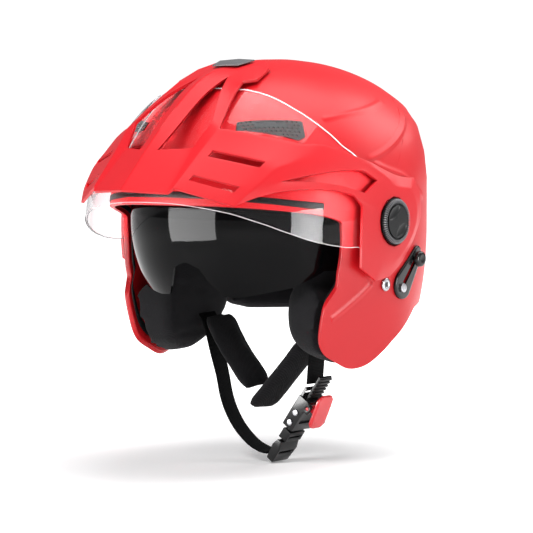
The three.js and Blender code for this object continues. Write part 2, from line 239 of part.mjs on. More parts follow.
const CF = [[0,1,5,4],[1,2,6,5],[2,3,7,6],[4,5,9,8],[5,6,10,9],[6,7,11,10],[8,9,13,12],[9,10,14,13],[10,11,15,14],[12,13,17,16],[13,14,18,17],[14,15,19,18],[16,17,21,20],[20,21,25,24],[24,25,29,28],[28,29,33,32],[18,19,23,22],[22,23,27,26],[26,27,31,30],[30,31,34,33],[32,33,36,35],[33,34,37,36],[35,36,39,38],[36,37,40,39],[3,41,44,7],[41,42,45,44],[42,43,46,45],[7,44,47,11],[45,46,49,48],[11,47,50,15],[47,48,51,50],[48,49,52,51],[15,50,53,19],[51,52,55,54],[19,53,56,23],[53,54,57,56],[54,55,58,57],[43,59,49,46],[59,63,52,49],[63,76,55,52],[76,71,58,55],[59,60,64,63],[60,61,65,64],[61,62,66,65],[63,67,77,76],[76,77,72,71],[67,68,78,77],[77,78,73,72],[68,69,79,78],[78,79,74,73],[69,70,80,79],[79,80,75,74],[62,81,95,93],[93,95,94,92],[81,82,97,95],[95,97,96,94],[82,83,99,97],[97,99,98,96],[83,84,101,99],[99,101,100,98],[84,85,103,101],[101,103,102,100],[85,86,105,103],[103,105,104,102],[86,87,107,105],[105,107,106,104],[87,88,109,107],[107,109,108,106],[88,89,111,109],[109,111,110,108],[89,90,113,111],[111,113,112,110],[90,91,115,113],[113,115,114,112],[91,75,117,115],[115,117,116,114],[75,80,119,117],[117,119,118,116],[80,70,121,119],[119,121,120,118],[70,66,123,121],[121,123,122,120],[66,62,93,123],[123,93,92,122]];
{
  // whole cage: mirror, weld on the centre plane
  const key = p => p.map(v => v.toFixed(2)).join(), map = new Map(), V = [], F = [];
  const vid = p => { const k = key(p); if (!map.has(k)) { map.set(k, V.length); V.push(p); } return map.get(k); };
  for (const f of CF) { F.push(f.map(i => vid(CV[i]))); F.push(f.slice().reverse().map(i => vid(mir(CV[i])))); }
  // orient outward by walking from the first face
  const E = new Map(); F.forEach((f, fi) => f.forEach((a, i) => { const b = f[(i + 1) % f.length], k = Math.min(a, b) + '_' + Math.max(a, b); (E.get(k) || E.set(k, []).get(k)).push([fi, a, b]); }));
  const seen = new Set([0]), st = [0];
  while (st.length) { const fi = st.pop(); F[fi].forEach((a, i) => { const b = F[fi][(i + 1) % F[fi].length]; for (const e of E.get(Math.min(a, b) + '_' + Math.max(a, b))) if (!seen.has(e[0])) { const g = F[e[0]]; const j = g.indexOf(a); if (g[(j + 1) % g.length] === b) F[e[0]] = g.slice().reverse(); seen.add(e[0]); st.push(e[0]); } }); }
  const N = V.map(() => [0, 0, 0]);
  for (const f of F) { const n = cross(sub(V[f[2]], V[f[0]]), sub(V[f[f.length - 1]], V[f[1]])); f.forEach(i => { N[i] = add(N[i], nrm(n)); }); }
  let flip = 0; V.forEach((p, i) => { flip += dot(nrm(N[i]), sub(p, [0, 20, 0])); }); const sg = flip < 0 ? -1 : 1;
  const T = 2.3, B = V.map((p, i) => { const n = nrm(N[i]); let q = add(p, n, -T * sg); return q; });
  const o = V.length, FF = [];
  for (const f of F) { FF.push(f); FF.push(f.slice().reverse().map(i => i + o)); }
  const dir = new Set(); F.forEach(f => f.forEach((a, i) => dir.add(a + '_' + f[(i + 1) % f.length])));
  F.forEach(f => f.forEach((a, i) => { const b = f[(i + 1) % f.length]; if (!dir.has(b + '_' + a)) FF.push([b, a, a + o, b + o]); }));
  let pk = man([...V, ...B], FF);
  // keep clear of the shell and the visor sweep
  pk = pk.subtract(outBand);
  put('peak', pk, RED());
}
{
  const P = [[0, -56, 120.6], [12.6, -54.6, 120.3], [17.6, -38.5, 124.6], [0, -36, 125.7]];
  const up = P.map(p => add(p, [0, 0, 1.5])), q = P.concat([mir(P[2]), mir(P[1])].map(p => p)), q2 = q.map(p => add(p, nrm([0, -.35, 1]), 1.3));
  const lift = q.map(p => add(p, nrm([0, -.35, 1]), .9)), lift2 = q.map(p => add(p, nrm([0, -.35, 1]), 2.1));
  put('peak_crown_insert', sweep([lift, lift2]), GREY());
}

// ---------- clear visor ----------
{
  const rl = [12, 20, 30, 44, 62, 76, 96, 116, 134, 146, 151.5], lo = [-88, -62, -40, -24.1, -15.9, -10.9, -5.1, -.3, 3.3, 5, 5.9];
  const rh = [12, 22, 40, 62, 73, 85, 97, 108, 117, 123, 127, 131], hi = [120, 92, 64, 55.3, 52.7, 53, 53.4, 53.8, 54.2, 54.2, 53.6, 52.4];
  const A = [], B = [], n = 12;
  const pt = (s, v, off) => { // s 0 centre .. 1 pivot ; v 0 low .. 1 high
    const c = Math.cos(s * PI / 2), k = Math.max(.085, Math.pow(c, .8));
    let r = 0, ph = 0, rm = 140; let lo_ = interp(k * 151.5, rl, lo), hi_ = interp(k * 131.5, rh, hi); ph = lerp(lo_, hi_, v); rm = interp(ph, VPHI, VR); r = k * rm;
    const x = visX(k, ph) * (1 + off / 121.5), q = r * (1 + off / rm);
    return [x, -q * Math.cos(ph * RAD), q * Math.sin(ph * RAD)];
  };
  const VV = [0, .2, .4, .6, .8, 1], S = []; for (let i = -n; i <= n; i++) S.push(i / n);
  for (const s of S) { const g = off => VV.map(v => { const p = pt(abs(s), v, off); return s < 0 ? mir(p) : p; }); A.push(g(.95)); B.push(g(-.95)); }
  let vis = slab(A, B);
  for (const s of [1, -1]) { vis = vis.add(cyl([0, 0, 0], [s, 0, 0], 17, 17, 120.4, 122.5, 28)); vis = vis.subtract(cyl([0, 0, 0], [s, 0, 0], 9.6, 9.6, 100, 130, 20)); }
  put('outer_visor', vis, CLR());
}
// pivot bases and dials
both('pivot_base', cyl([0, 0, 0], [1, 0, 0], 12.4, 12.4, 118.9, 119.7, 28).add(cyl([0, 0, 0], [1, 0, 0], 9, 9, 119, 124.6, 20)).add(cyl([0, 0, 0], [1, 0, 0], 4.9, 4.9, 113.2, 119.5, 12)), BLK());
{
  let d = cyl([0, 0, 0], [1, 0, 0], 18.3, 18.3, 125.0, 127.0, 36).add(cyl([0, 0, 0], [1, 0, 0], 18.3, 15.2, 127.0, 128.6, 36));
  d = d.subtract(cyl([0, 0, 0], [1, 0, 0], 13.2, 13.2, 127.2, 130, 28));
  const c = RAD * 35, u = [0, Math.cos(c), Math.sin(c)], w = [0, -Math.sin(c), Math.cos(c)];
  let grip = cyl([0, 0, 0], [1, 0, 0], 12.9, 12.9, 126.8, 128.9, 28);
  grip = grip.subtract(box([128.7, 0, 0].map((v, i) => v + u[i] * 0 + w[i] * 9.6), u, [1, 0, 0], w, 8, 1.2, 4.2)).subtract(box([128.7, 0, 0].map((v, i) => v - w[i] * 9.6), u, [1, 0, 0], w, 8, 1.2, 4.2));
  both('dial', d.add(grip), BLK());
}

// ---------- sun shield ----------
{
  const pt = (s, v, off) => {
    const c = Math.cos(s * PI / 2), k = Math.max(.09, Math.pow(c, .8)), r0 = 108 * k;
    const x0 = 100 * Math.max(0, 1 - k ** 2.4) ** (1 / 2.4);
    const lo_ = interp(x0, [0, 5, 13, 19, 27, 39, 52, 63, 75, 82, 90, 96, 99], [-17, -17.6, -19.8, -26.2, -32.9, -34.3, -34.6, -35.4, -38, -38.4, -40, -56, -80]);
    const hi_ = interp(x0, [0, 60, 88, 95, 99], [11, 10, 12, 24, 70]);
    const ph = lerp(lo_, hi_, v) * RAD, q = r0 + off * (r0 / 108);
    return [x0 * (1 + off / 100), -q * Math.cos(ph), q * Math.sin(ph)];
  };
  const n = 16, A = [], B = []; for (let i = -n; i <= n; i++) { const s = i / n, g = off => [0, .33, .67, 1].map(v => { const p = pt(abs(s), v, off); return s < 0 ? mir(p) : p; }); A.push(g(1)); B.push(g(-1)); }
  let sh = slab(A, B);
  for (const s of [1, -1]) { sh = sh.add(cyl([0, 0, 0], [s, 0, 0], 11, 11, 98.6, 101.2, 22)); sh = sh.subtract(cyl([0, 0, 0], [s, 0, 0], 4.9, 4.9, 90, 110, 14)); }
  put('sun_shield', sh, SMK());
  both('shield_pivot', cyl([0, 0, 0], [1, 0, 0], 4.4, 4.4, 97.6, 106, 14).add(cyl([0, 0, 0], [1, 0, 0], 8, 8, 102, 112.6, 18)).add(cyl([0, 0, 0], [1, 0, 0], 7, 7, 96.8, 98.2, 14)), BLK());
}
// lever and its base on the left side
{
  const W = nrm(cross(LD, [1, 0, 0])), O = [0, 22.8, -50.2], pts = [];
  const at = (a, b) => { const p = add(add(O, LD, a), W, b); return [p[1], p[2]]; };
  for (let i = 0; i <= 10; i++) { const t = (90 + i * 18) * RAD; pts.push(at(Math.cos(t) * 12, Math.sin(t) * 12)); }
  for (let i = 0; i <= 8; i++) { const t = (-90 + i * 22.5) * RAD; pts.push(at(31 + Math.cos(t) * 7.5, Math.sin(t) * 7.5)); }
  // base hugs the shell surface
  const mk = off => pts.map(([y, z]) => solX(shellF, y, z, off));
  let b = sweep([mk(.3), mk(3.0)]);
  b = b.subtract(outBand).subtract(box([118, 34.54, -38.46], LD, [1, 0, 0], W, 16.2, 12, 2.4));
  put('lever_base', b, BLK());
  const K = add(O, LD, 27), kx = solX(shellF, K[1], K[2])[0];
  let k = cyl([kx, K[1], K[2]], [1, 0, 0], 6.4, 5.6, 4.3, 8.1, 20).add(cyl([kx, K[1], K[2]], [1, 0, 0], 1.7, 1.7, -9, 4.4, 12)).add(cyl([kx, K[1], K[2]], [1, 0, 0], 4.6, 4.6, -9, -6.2, 14));
  put('sun_shield_lever', k, BLK());
  const H = add(O, LD, -4), hx = solX(shellF, H[1], H[2])[0];
  put('lever_screw', cyl([hx, H[1], H[2]], [1, 0, 0], 3.6, 3.2, 3.35, 4.4, 16), STL());
}

// ---------- chin strap ----------
{
  let rv = cyl([rx, .3, -49.5], [1, 0, 0], 5.2, 4.4, .25, 1.9, 20).add(cyl([rx, .3, -49.5], [1, 0, 0], 2.3, 2.3, -9.9, .5, 12)).subtract(cyl([rx, .3, -49.5], [1, 0, 0], 2.2, 2.2, .9, 3, 12));
  both('strap_rivet', rv, STL());
  let pl = box([ax, .3, -54.5], [1, 0, 0], [0, 1, 0], [0, 0, 1], .7, 13.5, 10.5); pl = pl.subtract(box([ax, .3, -60.3], [1, 0, 0], [0, 1, 0], [0, 0, 1], 3, 11.5, 1.9)).subtract(cyl([ax, .3, -49.5], [1, 0, 0], 2.6, 2.6, -3, 3, 12));
  both('anchor_plate', pl, STL());
  put('left_webbing', strip(wl, [0, 1, 0], 21, 1.8), WEB());
  put('right_webbing', strip(wr, i => { const t = interp(i, [0, 5, 8, 12, 14], [0, 0, 10, 11, 2]) * RAD; return [-Math.sin(t), Math.cos(t), 0]; }, 21, 1.8), WEB());
  put('left_strap_pad', pad([[49.5, -8, -96.5], [46.5, -8, -102], [38, -8, -111], [26, -8, -124], [13, -8, -138], [3.5, -8, -148], [-1.5, -8, -153]], nrm([.19, .98, 0]), 34, 10), PADM());
  put('right_strap_pad', pad([[-46.5, -6, -80.5], [-43, -6.4, -86.5], [-37, -7, -95], [-27, -7.6, -108], [-16, -8, -121], [-8.5, -8, -130], [-3, -8, -137]], nrm([.19, .98, 0]), 35, 10), PADM());
  // buckle frame
  const B0 = [46, -8, -152], D = nrm([-.578, 0, -.816]), Wd = [0, 1, 0], Tt = cross(Wd, D).map(v => v); const T2 = Tt[0] > 0 ? Tt : Tt.map(v => -v);
  const P = (d, w, t) => add(add(add(B0, D, d), Wd, w), T2, t);
  const bx = (d0, d1, w0, w1, t0, t1) => box(P((d0 + d1) / 2, (w0 + w1) / 2, (t0 + t1) / 2), D, Wd, T2, (d1 - d0) / 2, (w1 - w0) / 2, (t1 - t0) / 2);
  let rc = bx(-12, 17, -13, 13, -5.5, 5.5).subtract(bx(-20, 30, -8.6, 8.6, -1.9, 2.3));
  rc = rc.subtract(bx(-9.5, 10, -9.4, 9.4, 3.6, 9)).add(bx(-19.5, -11.5, -11.5, 11.5, -5.5, -3.2)).subtract(bx(-17.5, -13.6, -10.9, 10.9, -9, 0));
  rc = rc.subtract(cyl(P(-7.4, 0, 7), Wd, 1.9, 1.9, -20, 20, 12)).add(bx(-11, -3.5, -13, -10, 4, 9.5)).add(bx(-11, -3.5, 10, 13, 4, 9.5)).subtract(cyl(P(-7.4, 0, 7), Wd, 1.75, 1.75, -20, 20, 14));
  put('buckle_receiver', rc, BLK());
  const tp = [[-21.4, 8.7], [-21.9, 9.8], [-21.2, 10.9], [-14, 12.6], [-4, 14.6], [4.8, 16.3], [6.6, 15.9], [7.3, 14.7], [6.6, 13.7], [-3, 11.9], [-13, 9.9], [-20.2, 8.3]];
  let tab = sweep([tp.map(([d, t]) => P(d, -9.6, t)), tp.map(([d, t]) => P(d, 9.6, t))]).add(bx(-9.1, -5.6, -9.1, 9.1, 5.7, 11.6));
  tab = tab.add(cyl(P(-7.4, 0, 7), Wd, 1.35, 1.35, -12.9, 12.9, 12));
  put('release_tab', tab, RTAB());
  let tg = bx(-33, 22, -7.9, 7.9, -1.4, .6); for (let i = 0; i < 9; i++) tg = tg.add(bx(-32 + i * 3.4, -30.2 + i * 3.4, -7.9, 7.9, .3, 1.7));
  tg = tg.add(bx(21, 30, -10, 10, -4, 4)).subtract(bx(25, 27, -8, 8, -9, 9));
  put('ratchet_tongue', tg, BLK());
  let ad = sweep([[P(31.5, -12, -2.2), P(31.5, 12, -2.2), P(31.5, 12, 2.2), P(31.5, -12, 2.2)], [P(38, -12, -4.2), P(38, 12, -4.2), P(38, 12, 4.2), P(38, -12, 4.2)], [P(52, -10.5, -3.4), P(52, 10.5, -3.4), P(52, 10.5, 3.4), P(52, -10.5, 3.4)]]);
  put('strap_adjuster', ad.subtract(bx(40.5, 43, -9, 9, -9, 9)), BLK());
  put('buckle_screw_upper', cyl(P(2, -13.2, 0), [0, -1, 0], 2.5, 2.5, 0, 1.0, 16), STL());
  put('buckle_screw_lower', cyl(P(12, -13.2, 0), [0, -1, 0], 2.5, 2.5, 0, 1.0, 16), STL());
}
export default root;
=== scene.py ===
import bpy, bmesh, math
import numpy as np
from mathutils import Vector, Matrix


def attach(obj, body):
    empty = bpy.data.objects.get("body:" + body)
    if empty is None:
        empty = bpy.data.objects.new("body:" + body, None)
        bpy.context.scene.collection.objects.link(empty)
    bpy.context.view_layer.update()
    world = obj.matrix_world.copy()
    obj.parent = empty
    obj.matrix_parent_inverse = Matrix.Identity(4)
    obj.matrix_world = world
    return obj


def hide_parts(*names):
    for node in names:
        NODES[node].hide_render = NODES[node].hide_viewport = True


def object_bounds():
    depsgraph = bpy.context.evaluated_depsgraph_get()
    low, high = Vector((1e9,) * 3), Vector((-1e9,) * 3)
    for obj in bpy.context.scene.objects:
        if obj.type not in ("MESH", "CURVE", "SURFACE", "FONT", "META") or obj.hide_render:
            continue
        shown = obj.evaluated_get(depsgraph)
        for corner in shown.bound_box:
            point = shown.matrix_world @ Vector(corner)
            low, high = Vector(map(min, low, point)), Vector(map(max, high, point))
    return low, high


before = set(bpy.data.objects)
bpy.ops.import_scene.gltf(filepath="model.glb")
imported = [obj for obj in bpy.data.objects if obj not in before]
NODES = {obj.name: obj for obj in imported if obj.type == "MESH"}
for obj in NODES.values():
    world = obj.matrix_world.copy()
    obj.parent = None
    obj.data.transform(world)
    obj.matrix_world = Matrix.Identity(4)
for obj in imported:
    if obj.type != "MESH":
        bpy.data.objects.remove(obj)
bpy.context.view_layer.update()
RAD = math.pi / 180

# ---------------------------------------------------------------- numbers
def sst(a, b, x):
    t = np.clip((np.asarray(x, float) - a) / (b - a), 0, 1)
    return t * t * (3 - 2 * t)
def lerp(a, b, t): return a + (b - a) * t
def unit(v):
    v = np.asarray(v, float)
    return v / np.linalg.norm(v, axis=-1, keepdims=True)
C0 = np.array([0, 0, -10.0])
JN = np.array([.9542, -.1845, -.2355]); JD = 124.89
POLE = np.array([0, math.cos(54 * RAD), math.sin(54 * RAD)])
LD = np.array([0, math.sqrt(.5), math.sqrt(.5)])

def shellF(P):
    x, y, z = np.abs(P[..., 0]), P[..., 1], P[..., 2]
    dy = y - 10; zp = np.maximum(z, 0)
    F1 = ((x / 129) ** 2.1 + (np.abs(dy) / np.where(dy < 0, 138., 165.)) ** 2.1 + (zp / 128.5) ** 2.1) ** (1 / 2.1)
    s = np.maximum(.3, 1 - .0001475 * np.maximum(z - 34, 0) ** 1.6 - lerp(.05, .11, sst(10, 80, dy)) * (np.maximum(-z, 0) / 95) ** 2.5)
    n2 = np.where(dy < 0, 2.25, 2.05)
    F2 = ((x / 119.5) ** n2 + (np.abs(dy) / np.where(dy < 0, 156., 129.)) ** n2) ** (1 / n2) / s
    rho = np.hypot(np.minimum(y, 0), np.where(z < 0, z * np.clip(-y / 70, 0, 1), z * .75))
    F3 = ((x / 121) ** 2.2 + (rho / 158) ** 2.2) ** (1 / 2.2)
    F4 = np.maximum(.01, (JN[0] * x + JN[1] * y + JN[2] * z) / JD)
    return (F1 ** 50 + F2 ** 50 + F3 ** 50 + F4 ** 50) ** .02
def solve(F, D, off=0., C=C0):
    a = np.full(D.shape[:-1], 5.); b = np.full(D.shape[:-1], 300.)
    for _ in range(34):
        m = (a + b) / 2; ins = F(C + D * m[..., None]) < 1
        a = np.where(ins, m, a); b = np.where(ins, b, m)
    return C + D * (a + off)[..., None]
def solX(F, y, z, off=0.):
    y, z = np.broadcast_arrays(np.asarray(y, float), np.asarray(z, float))
    a = np.full(y.shape, 2.); b = np.full(y.shape, 200.)
    for _ in range(34):
        m = (a + b) / 2; ins = F(np.stack([m, y, z], -1)) < 1
        a = np.where(ins, m, a); b = np.where(ins, b, m)
    return np.stack([a + off, y, z], -1)
def solAz(F, az, z, off=0., cy=0.):
    az, z = np.broadcast_arrays(np.asarray(az, float) * RAD, np.asarray(z, float))
    a = np.full(z.shape, 2.); b = np.full(z.shape, 260.); c, s = np.cos(az), np.sin(az)
    for _ in range(34):
        m = (a + b) / 2; ins = F(np.stack([m * c, cy + m * s, z], -1)) < 1
        a = np.where(ins, m, a); b = np.where(ins, b, m)
    return np.stack([(a + off) * c, cy + (a + off) * s, z], -1)
def slerp(A, B, t):
    d = np.clip((A * B).sum(-1), -1, 1); o = np.arccos(d)[..., None]; t = np.asarray(t)[..., None]
    return unit((A * np.sin((1 - t) * o) + B * np.sin(t * o)) / np.maximum(np.sin(o), 1e-6))
def grad(F, P, h=.4):
    G = np.zeros_like(P)
    for i in range(3):
        e = np.zeros(3); e[i] = h; G[..., i] = F(P + e) - F(P - e)
    return unit(G + 1e-12)
def headF(a, yf, yb, zt):
    def f(P):
        dy = P[..., 1] - 4
        return ((np.abs(P[..., 0]) / a) ** 2.25 + (np.abs(dy) / np.where(dy < 0, yf, yb)) ** 2.25 + (np.maximum(P[..., 2], 0) / zt) ** 2.25) ** (1 / 2.25)
    return f
comIn = headF(77, 91, 97, 93); comOut = headF(83.7, 97.7, 103.7, 99.7)
def crom(P, n, closed=False):
    """Catmull-Rom through P, n samples per span."""
    P = np.asarray(P, float); N = len(P); out = []
    for i in range(N if closed else N - 1):
        if closed: p0, p1, p2, p3 = P[(i - 1) % N], P[i], P[(i + 1) % N], P[(i + 2) % N]
        else: p0, p1, p2, p3 = P[max(i - 1, 0)], P[i], P[i + 1], P[min(i + 2, N - 1)]
        for k in range(n):
            t = k / n
            out.append(.5 * ((2 * p1) + (-p0 + p2) * t + (2 * p0 - 5 * p1 + 4 * p2 - p3) * t * t + (-p0 + 3 * p1 - 3 * p2 + p3) * t ** 3))
    if not closed: out.append(P[-1])
    return np.array(out)
M = np.array([-1, 1, 1.])

# ---------------------------------------------------------------- mesh helpers
def new(name, V, F, body, mat, slot=None, angle=35, rep=None, smooth=True):
    me = bpy.data.meshes.new(name); me.from_pydata((np.asarray(V) * .001).tolist(), [], [list(map(int, f)) for f in F]); me.update()
    bm = bmesh.new(); bm.from_mesh(me); bmesh.ops.remove_doubles(bm, verts=bm.verts, dist=2e-6); bmesh.ops.recalc_face_normals(bm, faces=bm.faces); bm.to_mesh(me); bm.free()
    o = bpy.data.objects.new(name, me); bpy.context.scene.collection.objects.link(o)
    if smooth: shade(o, angle)
    if mat is not None: me.materials.append(mat)
    if body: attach(o, body)
    if rep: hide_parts(*([rep] if isinstance(rep, str) else rep))
    return o
def shade(o, angle=35):
    me = o.data; me.polygons.foreach_set("use_smooth", [True] * len(me.polygons)); me.set_sharp_from_angle(angle=angle * RAD); me.update()
def bake(o):
    """Applies every modifier on o to its mesh."""
    dg = bpy.context.evaluated_depsgraph_get(); me = bpy.data.meshes.new_from_object(o.evaluated_get(dg)); old = o.data
    o.modifiers.clear(); o.data = me; bpy.data.meshes.remove(old); return o
def boole(o, cutters, op="DIFFERENCE"):
    for c in cutters:
        m = o.modifiers.new("b", "BOOLEAN"); m.operation = op; m.object = c; m.solver = "EXACT"
    bpy.context.view_layer.update(); bake(o)
    for c in cutters: bpy.data.objects.remove(c, do_unlink=True)
    return o
def grid(n, m, wrapi=False, wrapj=False):
    F = []
    for i in range(n if wrapi else n - 1):
        for j in range(m if wrapj else m - 1):
            a = i * m + j; b = ((i + 1) % n) * m + j; c = ((i + 1) % n) * m + (j + 1) % m; d = i * m + (j + 1) % m
            F.append([a, b, c, d])
    return F
def tube(S, cap=True):
    """Closed solid from sections S[i][j]."""
    S = np.asarray(S); n, m = S.shape[:2]; F = grid(n, m, False, True)
    if cap: F += [list(range(m))[::-1], [(n - 1) * m + j for j in range(m)]]
    return S.reshape(-1, 3), F
def prism(o, a, b, c, ha, hb, hc):
    o, a, b, c = (np.asarray(q, float) for q in (o, a, b, c))
    S = [[o + a * s + b * p + c * q for p, q in ((-hb, -hc), (hb, -hc), (hb, hc), (-hb, hc))] for s in (-ha, ha)]
    return tube(S)
def lathe(c, d, prof, n=64):
    """Turned solid: prof is (height, radius) along unit axis d from c; first and last radius 0."""
    c = np.asarray(c, float); d = unit(d); u = unit(np.cross(d, [0, 0, 1.] if abs(d[2]) < .9 else [1., 0, 0])); w = np.cross(d, u)
    S = [[c + d * h + (u * math.cos(t) + w * math.sin(t)) * max(r, 1e-4) for t in np.arange(n) / n * 2 * math.pi] for h, r in prof]
    return tube(S)
def raw(name, VF):
    return new(name, VF[0], VF[1], None, None, smooth=False)
def rounded(h0, h1, r, e=.4, r1=None, k=3):
    """Profile of a disc from h0 to h1 with eased edges."""
    r1 = r if r1 is None else r1; P = [(h0, 0)]
    for i in range(k + 1): t = i / k * math.pi / 2; P.append((h0 + e * (1 - math.cos(t)), r - e + e * math.sin(t)))
    for i in range(k + 1): t = i / k * math.pi / 2; P.append((h1 - e + e * math.sin(t), r1 - e + e * math.cos(t)))
    return P + [(h1, 0)]
def clone(node, body, mat, w=.35, seg=3, angle=28, name=None):
    """A CAD node's own shape, with its edges eased."""
    me = NODES[node].data.copy(); o = bpy.data.objects.new(name or node + "_v", me); bpy.context.scene.collection.objects.link(o)
    bm = bmesh.new(); bm.from_mesh(me); bmesh.ops.remove_doubles(bm, verts=bm.verts, dist=1e-6)
    bmesh.ops.dissolve_limit(bm, angle_limit=1.0 * RAD, verts=bm.verts, edges=bm.edges); bm.to_mesh(me); bm.free()
    if w:
        m = o.modifiers.new("e", "BEVEL"); m.width = w * .001; m.segments = seg; m.limit_method = "ANGLE"; m.angle_limit = angle * RAD; m.use_clamp_overlap = True
        bpy.context.view_layer.update(); bake(o)
    o.data.materials.clear(); o.data.materials.append(mat); shade(o, 32)
    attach(o, body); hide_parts(node); return o

# ---------------------------------------------------------------- materials
def material(name, col, rough, metal=0., bump=None, var=.06, spec=None, coat=0., coatr=.1, sheen=0., rvar=.06, trans=0., ior=None, vscale=40., weave=None, bstr=.25):
    m = bpy.data.materials.new(name); m.use_nodes = True; N = m.node_tree.nodes; L = m.node_tree.links; b = N["Principled BSDF"]
    tc = N.new("ShaderNodeTexCoord"); nz = N.new("ShaderNodeTexNoise"); nz.inputs["Scale"].default_value = vscale; nz.inputs["Detail"].default_value = 4
    L.new(tc.outputs["Object"], nz.inputs["Vector"])
    cr = N.new("ShaderNodeValToRGB"); lo = [max(0, c * (1 - var)) for c in col]; hi = [min(1, c * (1 + var)) for c in col]
    cr.color_ramp.elements[0].color = (*lo, 1); cr.color_ramp.elements[0].position = .3; cr.color_ramp.elements[1].color = (*hi, 1); cr.color_ramp.elements[1].position = .7
    L.new(nz.outputs["Fac"], cr.inputs["Fac"]); out = cr.outputs["Color"]
    mr = N.new("ShaderNodeMapRange"); mr.inputs["To Min"].default_value = max(.01, rough - rvar); mr.inputs["To Max"].default_value = rough + rvar
    L.new(nz.outputs["Fac"], mr.inputs["Value"]); L.new(mr.outputs["Result"], b.inputs["Roughness"])
    h = None
    if weave:
        sc, ang = weave; mp = N.new("ShaderNodeMapping"); mp.inputs["Rotation"].default_value = ang; L.new(tc.outputs["Object"], mp.inputs["Vector"]); ws = []
        for ax in ("X", "Y", "Z"):
            w = N.new("ShaderNodeTexWave"); w.wave_type = "BANDS"; w.bands_direction = ax; w.inputs["Scale"].default_value = sc; w.inputs["Distortion"].default_value = .6; w.inputs["Detail"].default_value = 1
            L.new(mp.outputs["Vector"], w.inputs["Vector"]); ws.append(w)
        a = N.new("ShaderNodeMath"); a.operation = "MAXIMUM"; L.new(ws[0].outputs["Fac"], a.inputs[0]); L.new(ws[1].outputs["Fac"], a.inputs[1])
        c = N.new("ShaderNodeMath"); c.operation = "MULTIPLY"; L.new(a.outputs[0], c.inputs[0]); L.new(ws[2].outputs["Fac"], c.inputs[1]); h = c.outputs[0]
        mx = N.new("ShaderNodeMix"); mx.data_type = "RGBA"; mx.blend_type = "MULTIPLY"; mx.inputs["Factor"].default_value = .45; L.new(out, mx.inputs["A"])
        g = N.new("ShaderNodeValToRGB"); g.color_ramp.elements[0].color = (.45, .45, .45, 1); L.new(h, g.inputs["Fac"]); L.new(g.outputs["Color"], mx.inputs["B"]); out = mx.outputs["Result"]
    L.new(out, b.inputs["Base Color"])
    if bump or weave:
        bp = N.new("ShaderNodeBump"); bp.inputs["Strength"].default_value = bstr; bp.inputs["Distance"].default_value = .0004
        if h is None:
            n2 = N.new("ShaderNodeTexNoise"); n2.inputs["Scale"].default_value = bump; n2.inputs["Detail"].default_value = 3; L.new(tc.outputs["Object"], n2.inputs["Vector"]); h = n2.outputs["Fac"]
        L.new(h, bp.inputs["Height"]); L.new(bp.outputs["Normal"], b.inputs["Normal"])
    b.inputs["Metallic"].default_value = metal
    if coat: b.inputs["Coat Weight"].default_value = coat; b.inputs["Coat Roughness"].default_value = coatr
    if sheen: b.inputs["Sheen Weight"].default_value = sheen; b.inputs["Sheen Roughness"].default_value = .5
    if trans: b.inputs["Transmission Weight"].default_value = trans
    if ior: b.inputs["IOR"].default_value = ior
    if spec is not None: b.inputs["Specular IOR Level"].default_value = spec
    return m
RED = material("red_lacquer", (.55, .006, .011), .42, bump=2600, bstr=.05, coat=.06, coatr=.26, var=.03, vscale=14, spec=.22)
REDP = material("red_moulding", (.57, .007, .013), .44, bump=3000, bstr=.06, coat=.06, coatr=.3, var=.03, vscale=14, spec=.22)
BLK = material("black_plastic", (.005, .005, .0055), .38, bump=2200, bstr=.18, var=.2, spec=.2)
GLS = material("black_gloss", (.006, .006, .0065), .24, bump=1200, bstr=.05, var=.15, coat=.12, spec=.25)
MESH = material("black_matte", (.005, .005, .0055), .6, bump=2500, bstr=.3, var=.2, spec=.15)
GREY = material("grey_plastic", (.1, .1, .105), .42, bump=2400, bstr=.15, var=.1)
# lighter grey for the dial's black ribs: painted highlight on the rib tops
RIB_HIGHLIGHT = material("dial_rib_highlight", (.2, .2, .21), .35, bump=2400, bstr=.1, var=.1)
RUB = material("trim_rubber", (.008, .008, .009), .7, bump=1800, bstr=.3, var=.2, spec=.15)
FAB = material("lining_knit", (.0085, .008, .0095), .92, weave=(420, (.5, .4, .3)), bstr=.5, sheen=.05, var=.25, vscale=60, spec=.12)
FAB2 = material("lining_mesh", (.005, .005, .006), .94, weave=(260, (.2, .7, .1)), bstr=.6, sheen=.03, var=.25, vscale=60, spec=.1)
WEB = material("webbing", (.0035, .0035, .004), .8, weave=(330, (0, .61, 0)), bstr=.6, sheen=.015, var=.2, vscale=80, spec=.06)
EPS = material("foam_core", (.012, .012, .013), .88, bump=700, bstr=.6, var=.3, vscale=300, spec=.12)
STL = material("steel", (.42, .42, .44), .3, metal=1., bump=900, bstr=.05, var=.05)
DRK = material("dark_steel", (.05, .05, .052), .4, metal=.8, var=.1)
TAB = material("red_tab", (.7, .012, .02), .25, bump=1500, bstr=.05, coat=.3, var=.04)
THR = material("thread", (.05, .048, .055), .8, bump=3000, bstr=.3, sheen=.1)
CLR = material("clear_polycarbonate", (.985, .965, .975), .03, rvar=.012, var=.008, trans=1., ior=1.22, vscale=9)
# light pinkish-grey opaque colour for the visor edge beads: painted highlight along the clear visor's edges
EDGE_HIGHLIGHT = material("painted_edge_highlight", (.72, .66, .68), .2, var=.02, rvar=.03, coat=.3, vscale=20)
SMK = material("smoke_polycarbonate", (.003, .003, .0035), .04, rvar=.01, var=.1, trans=.4, ior=1.17, vscale=9)

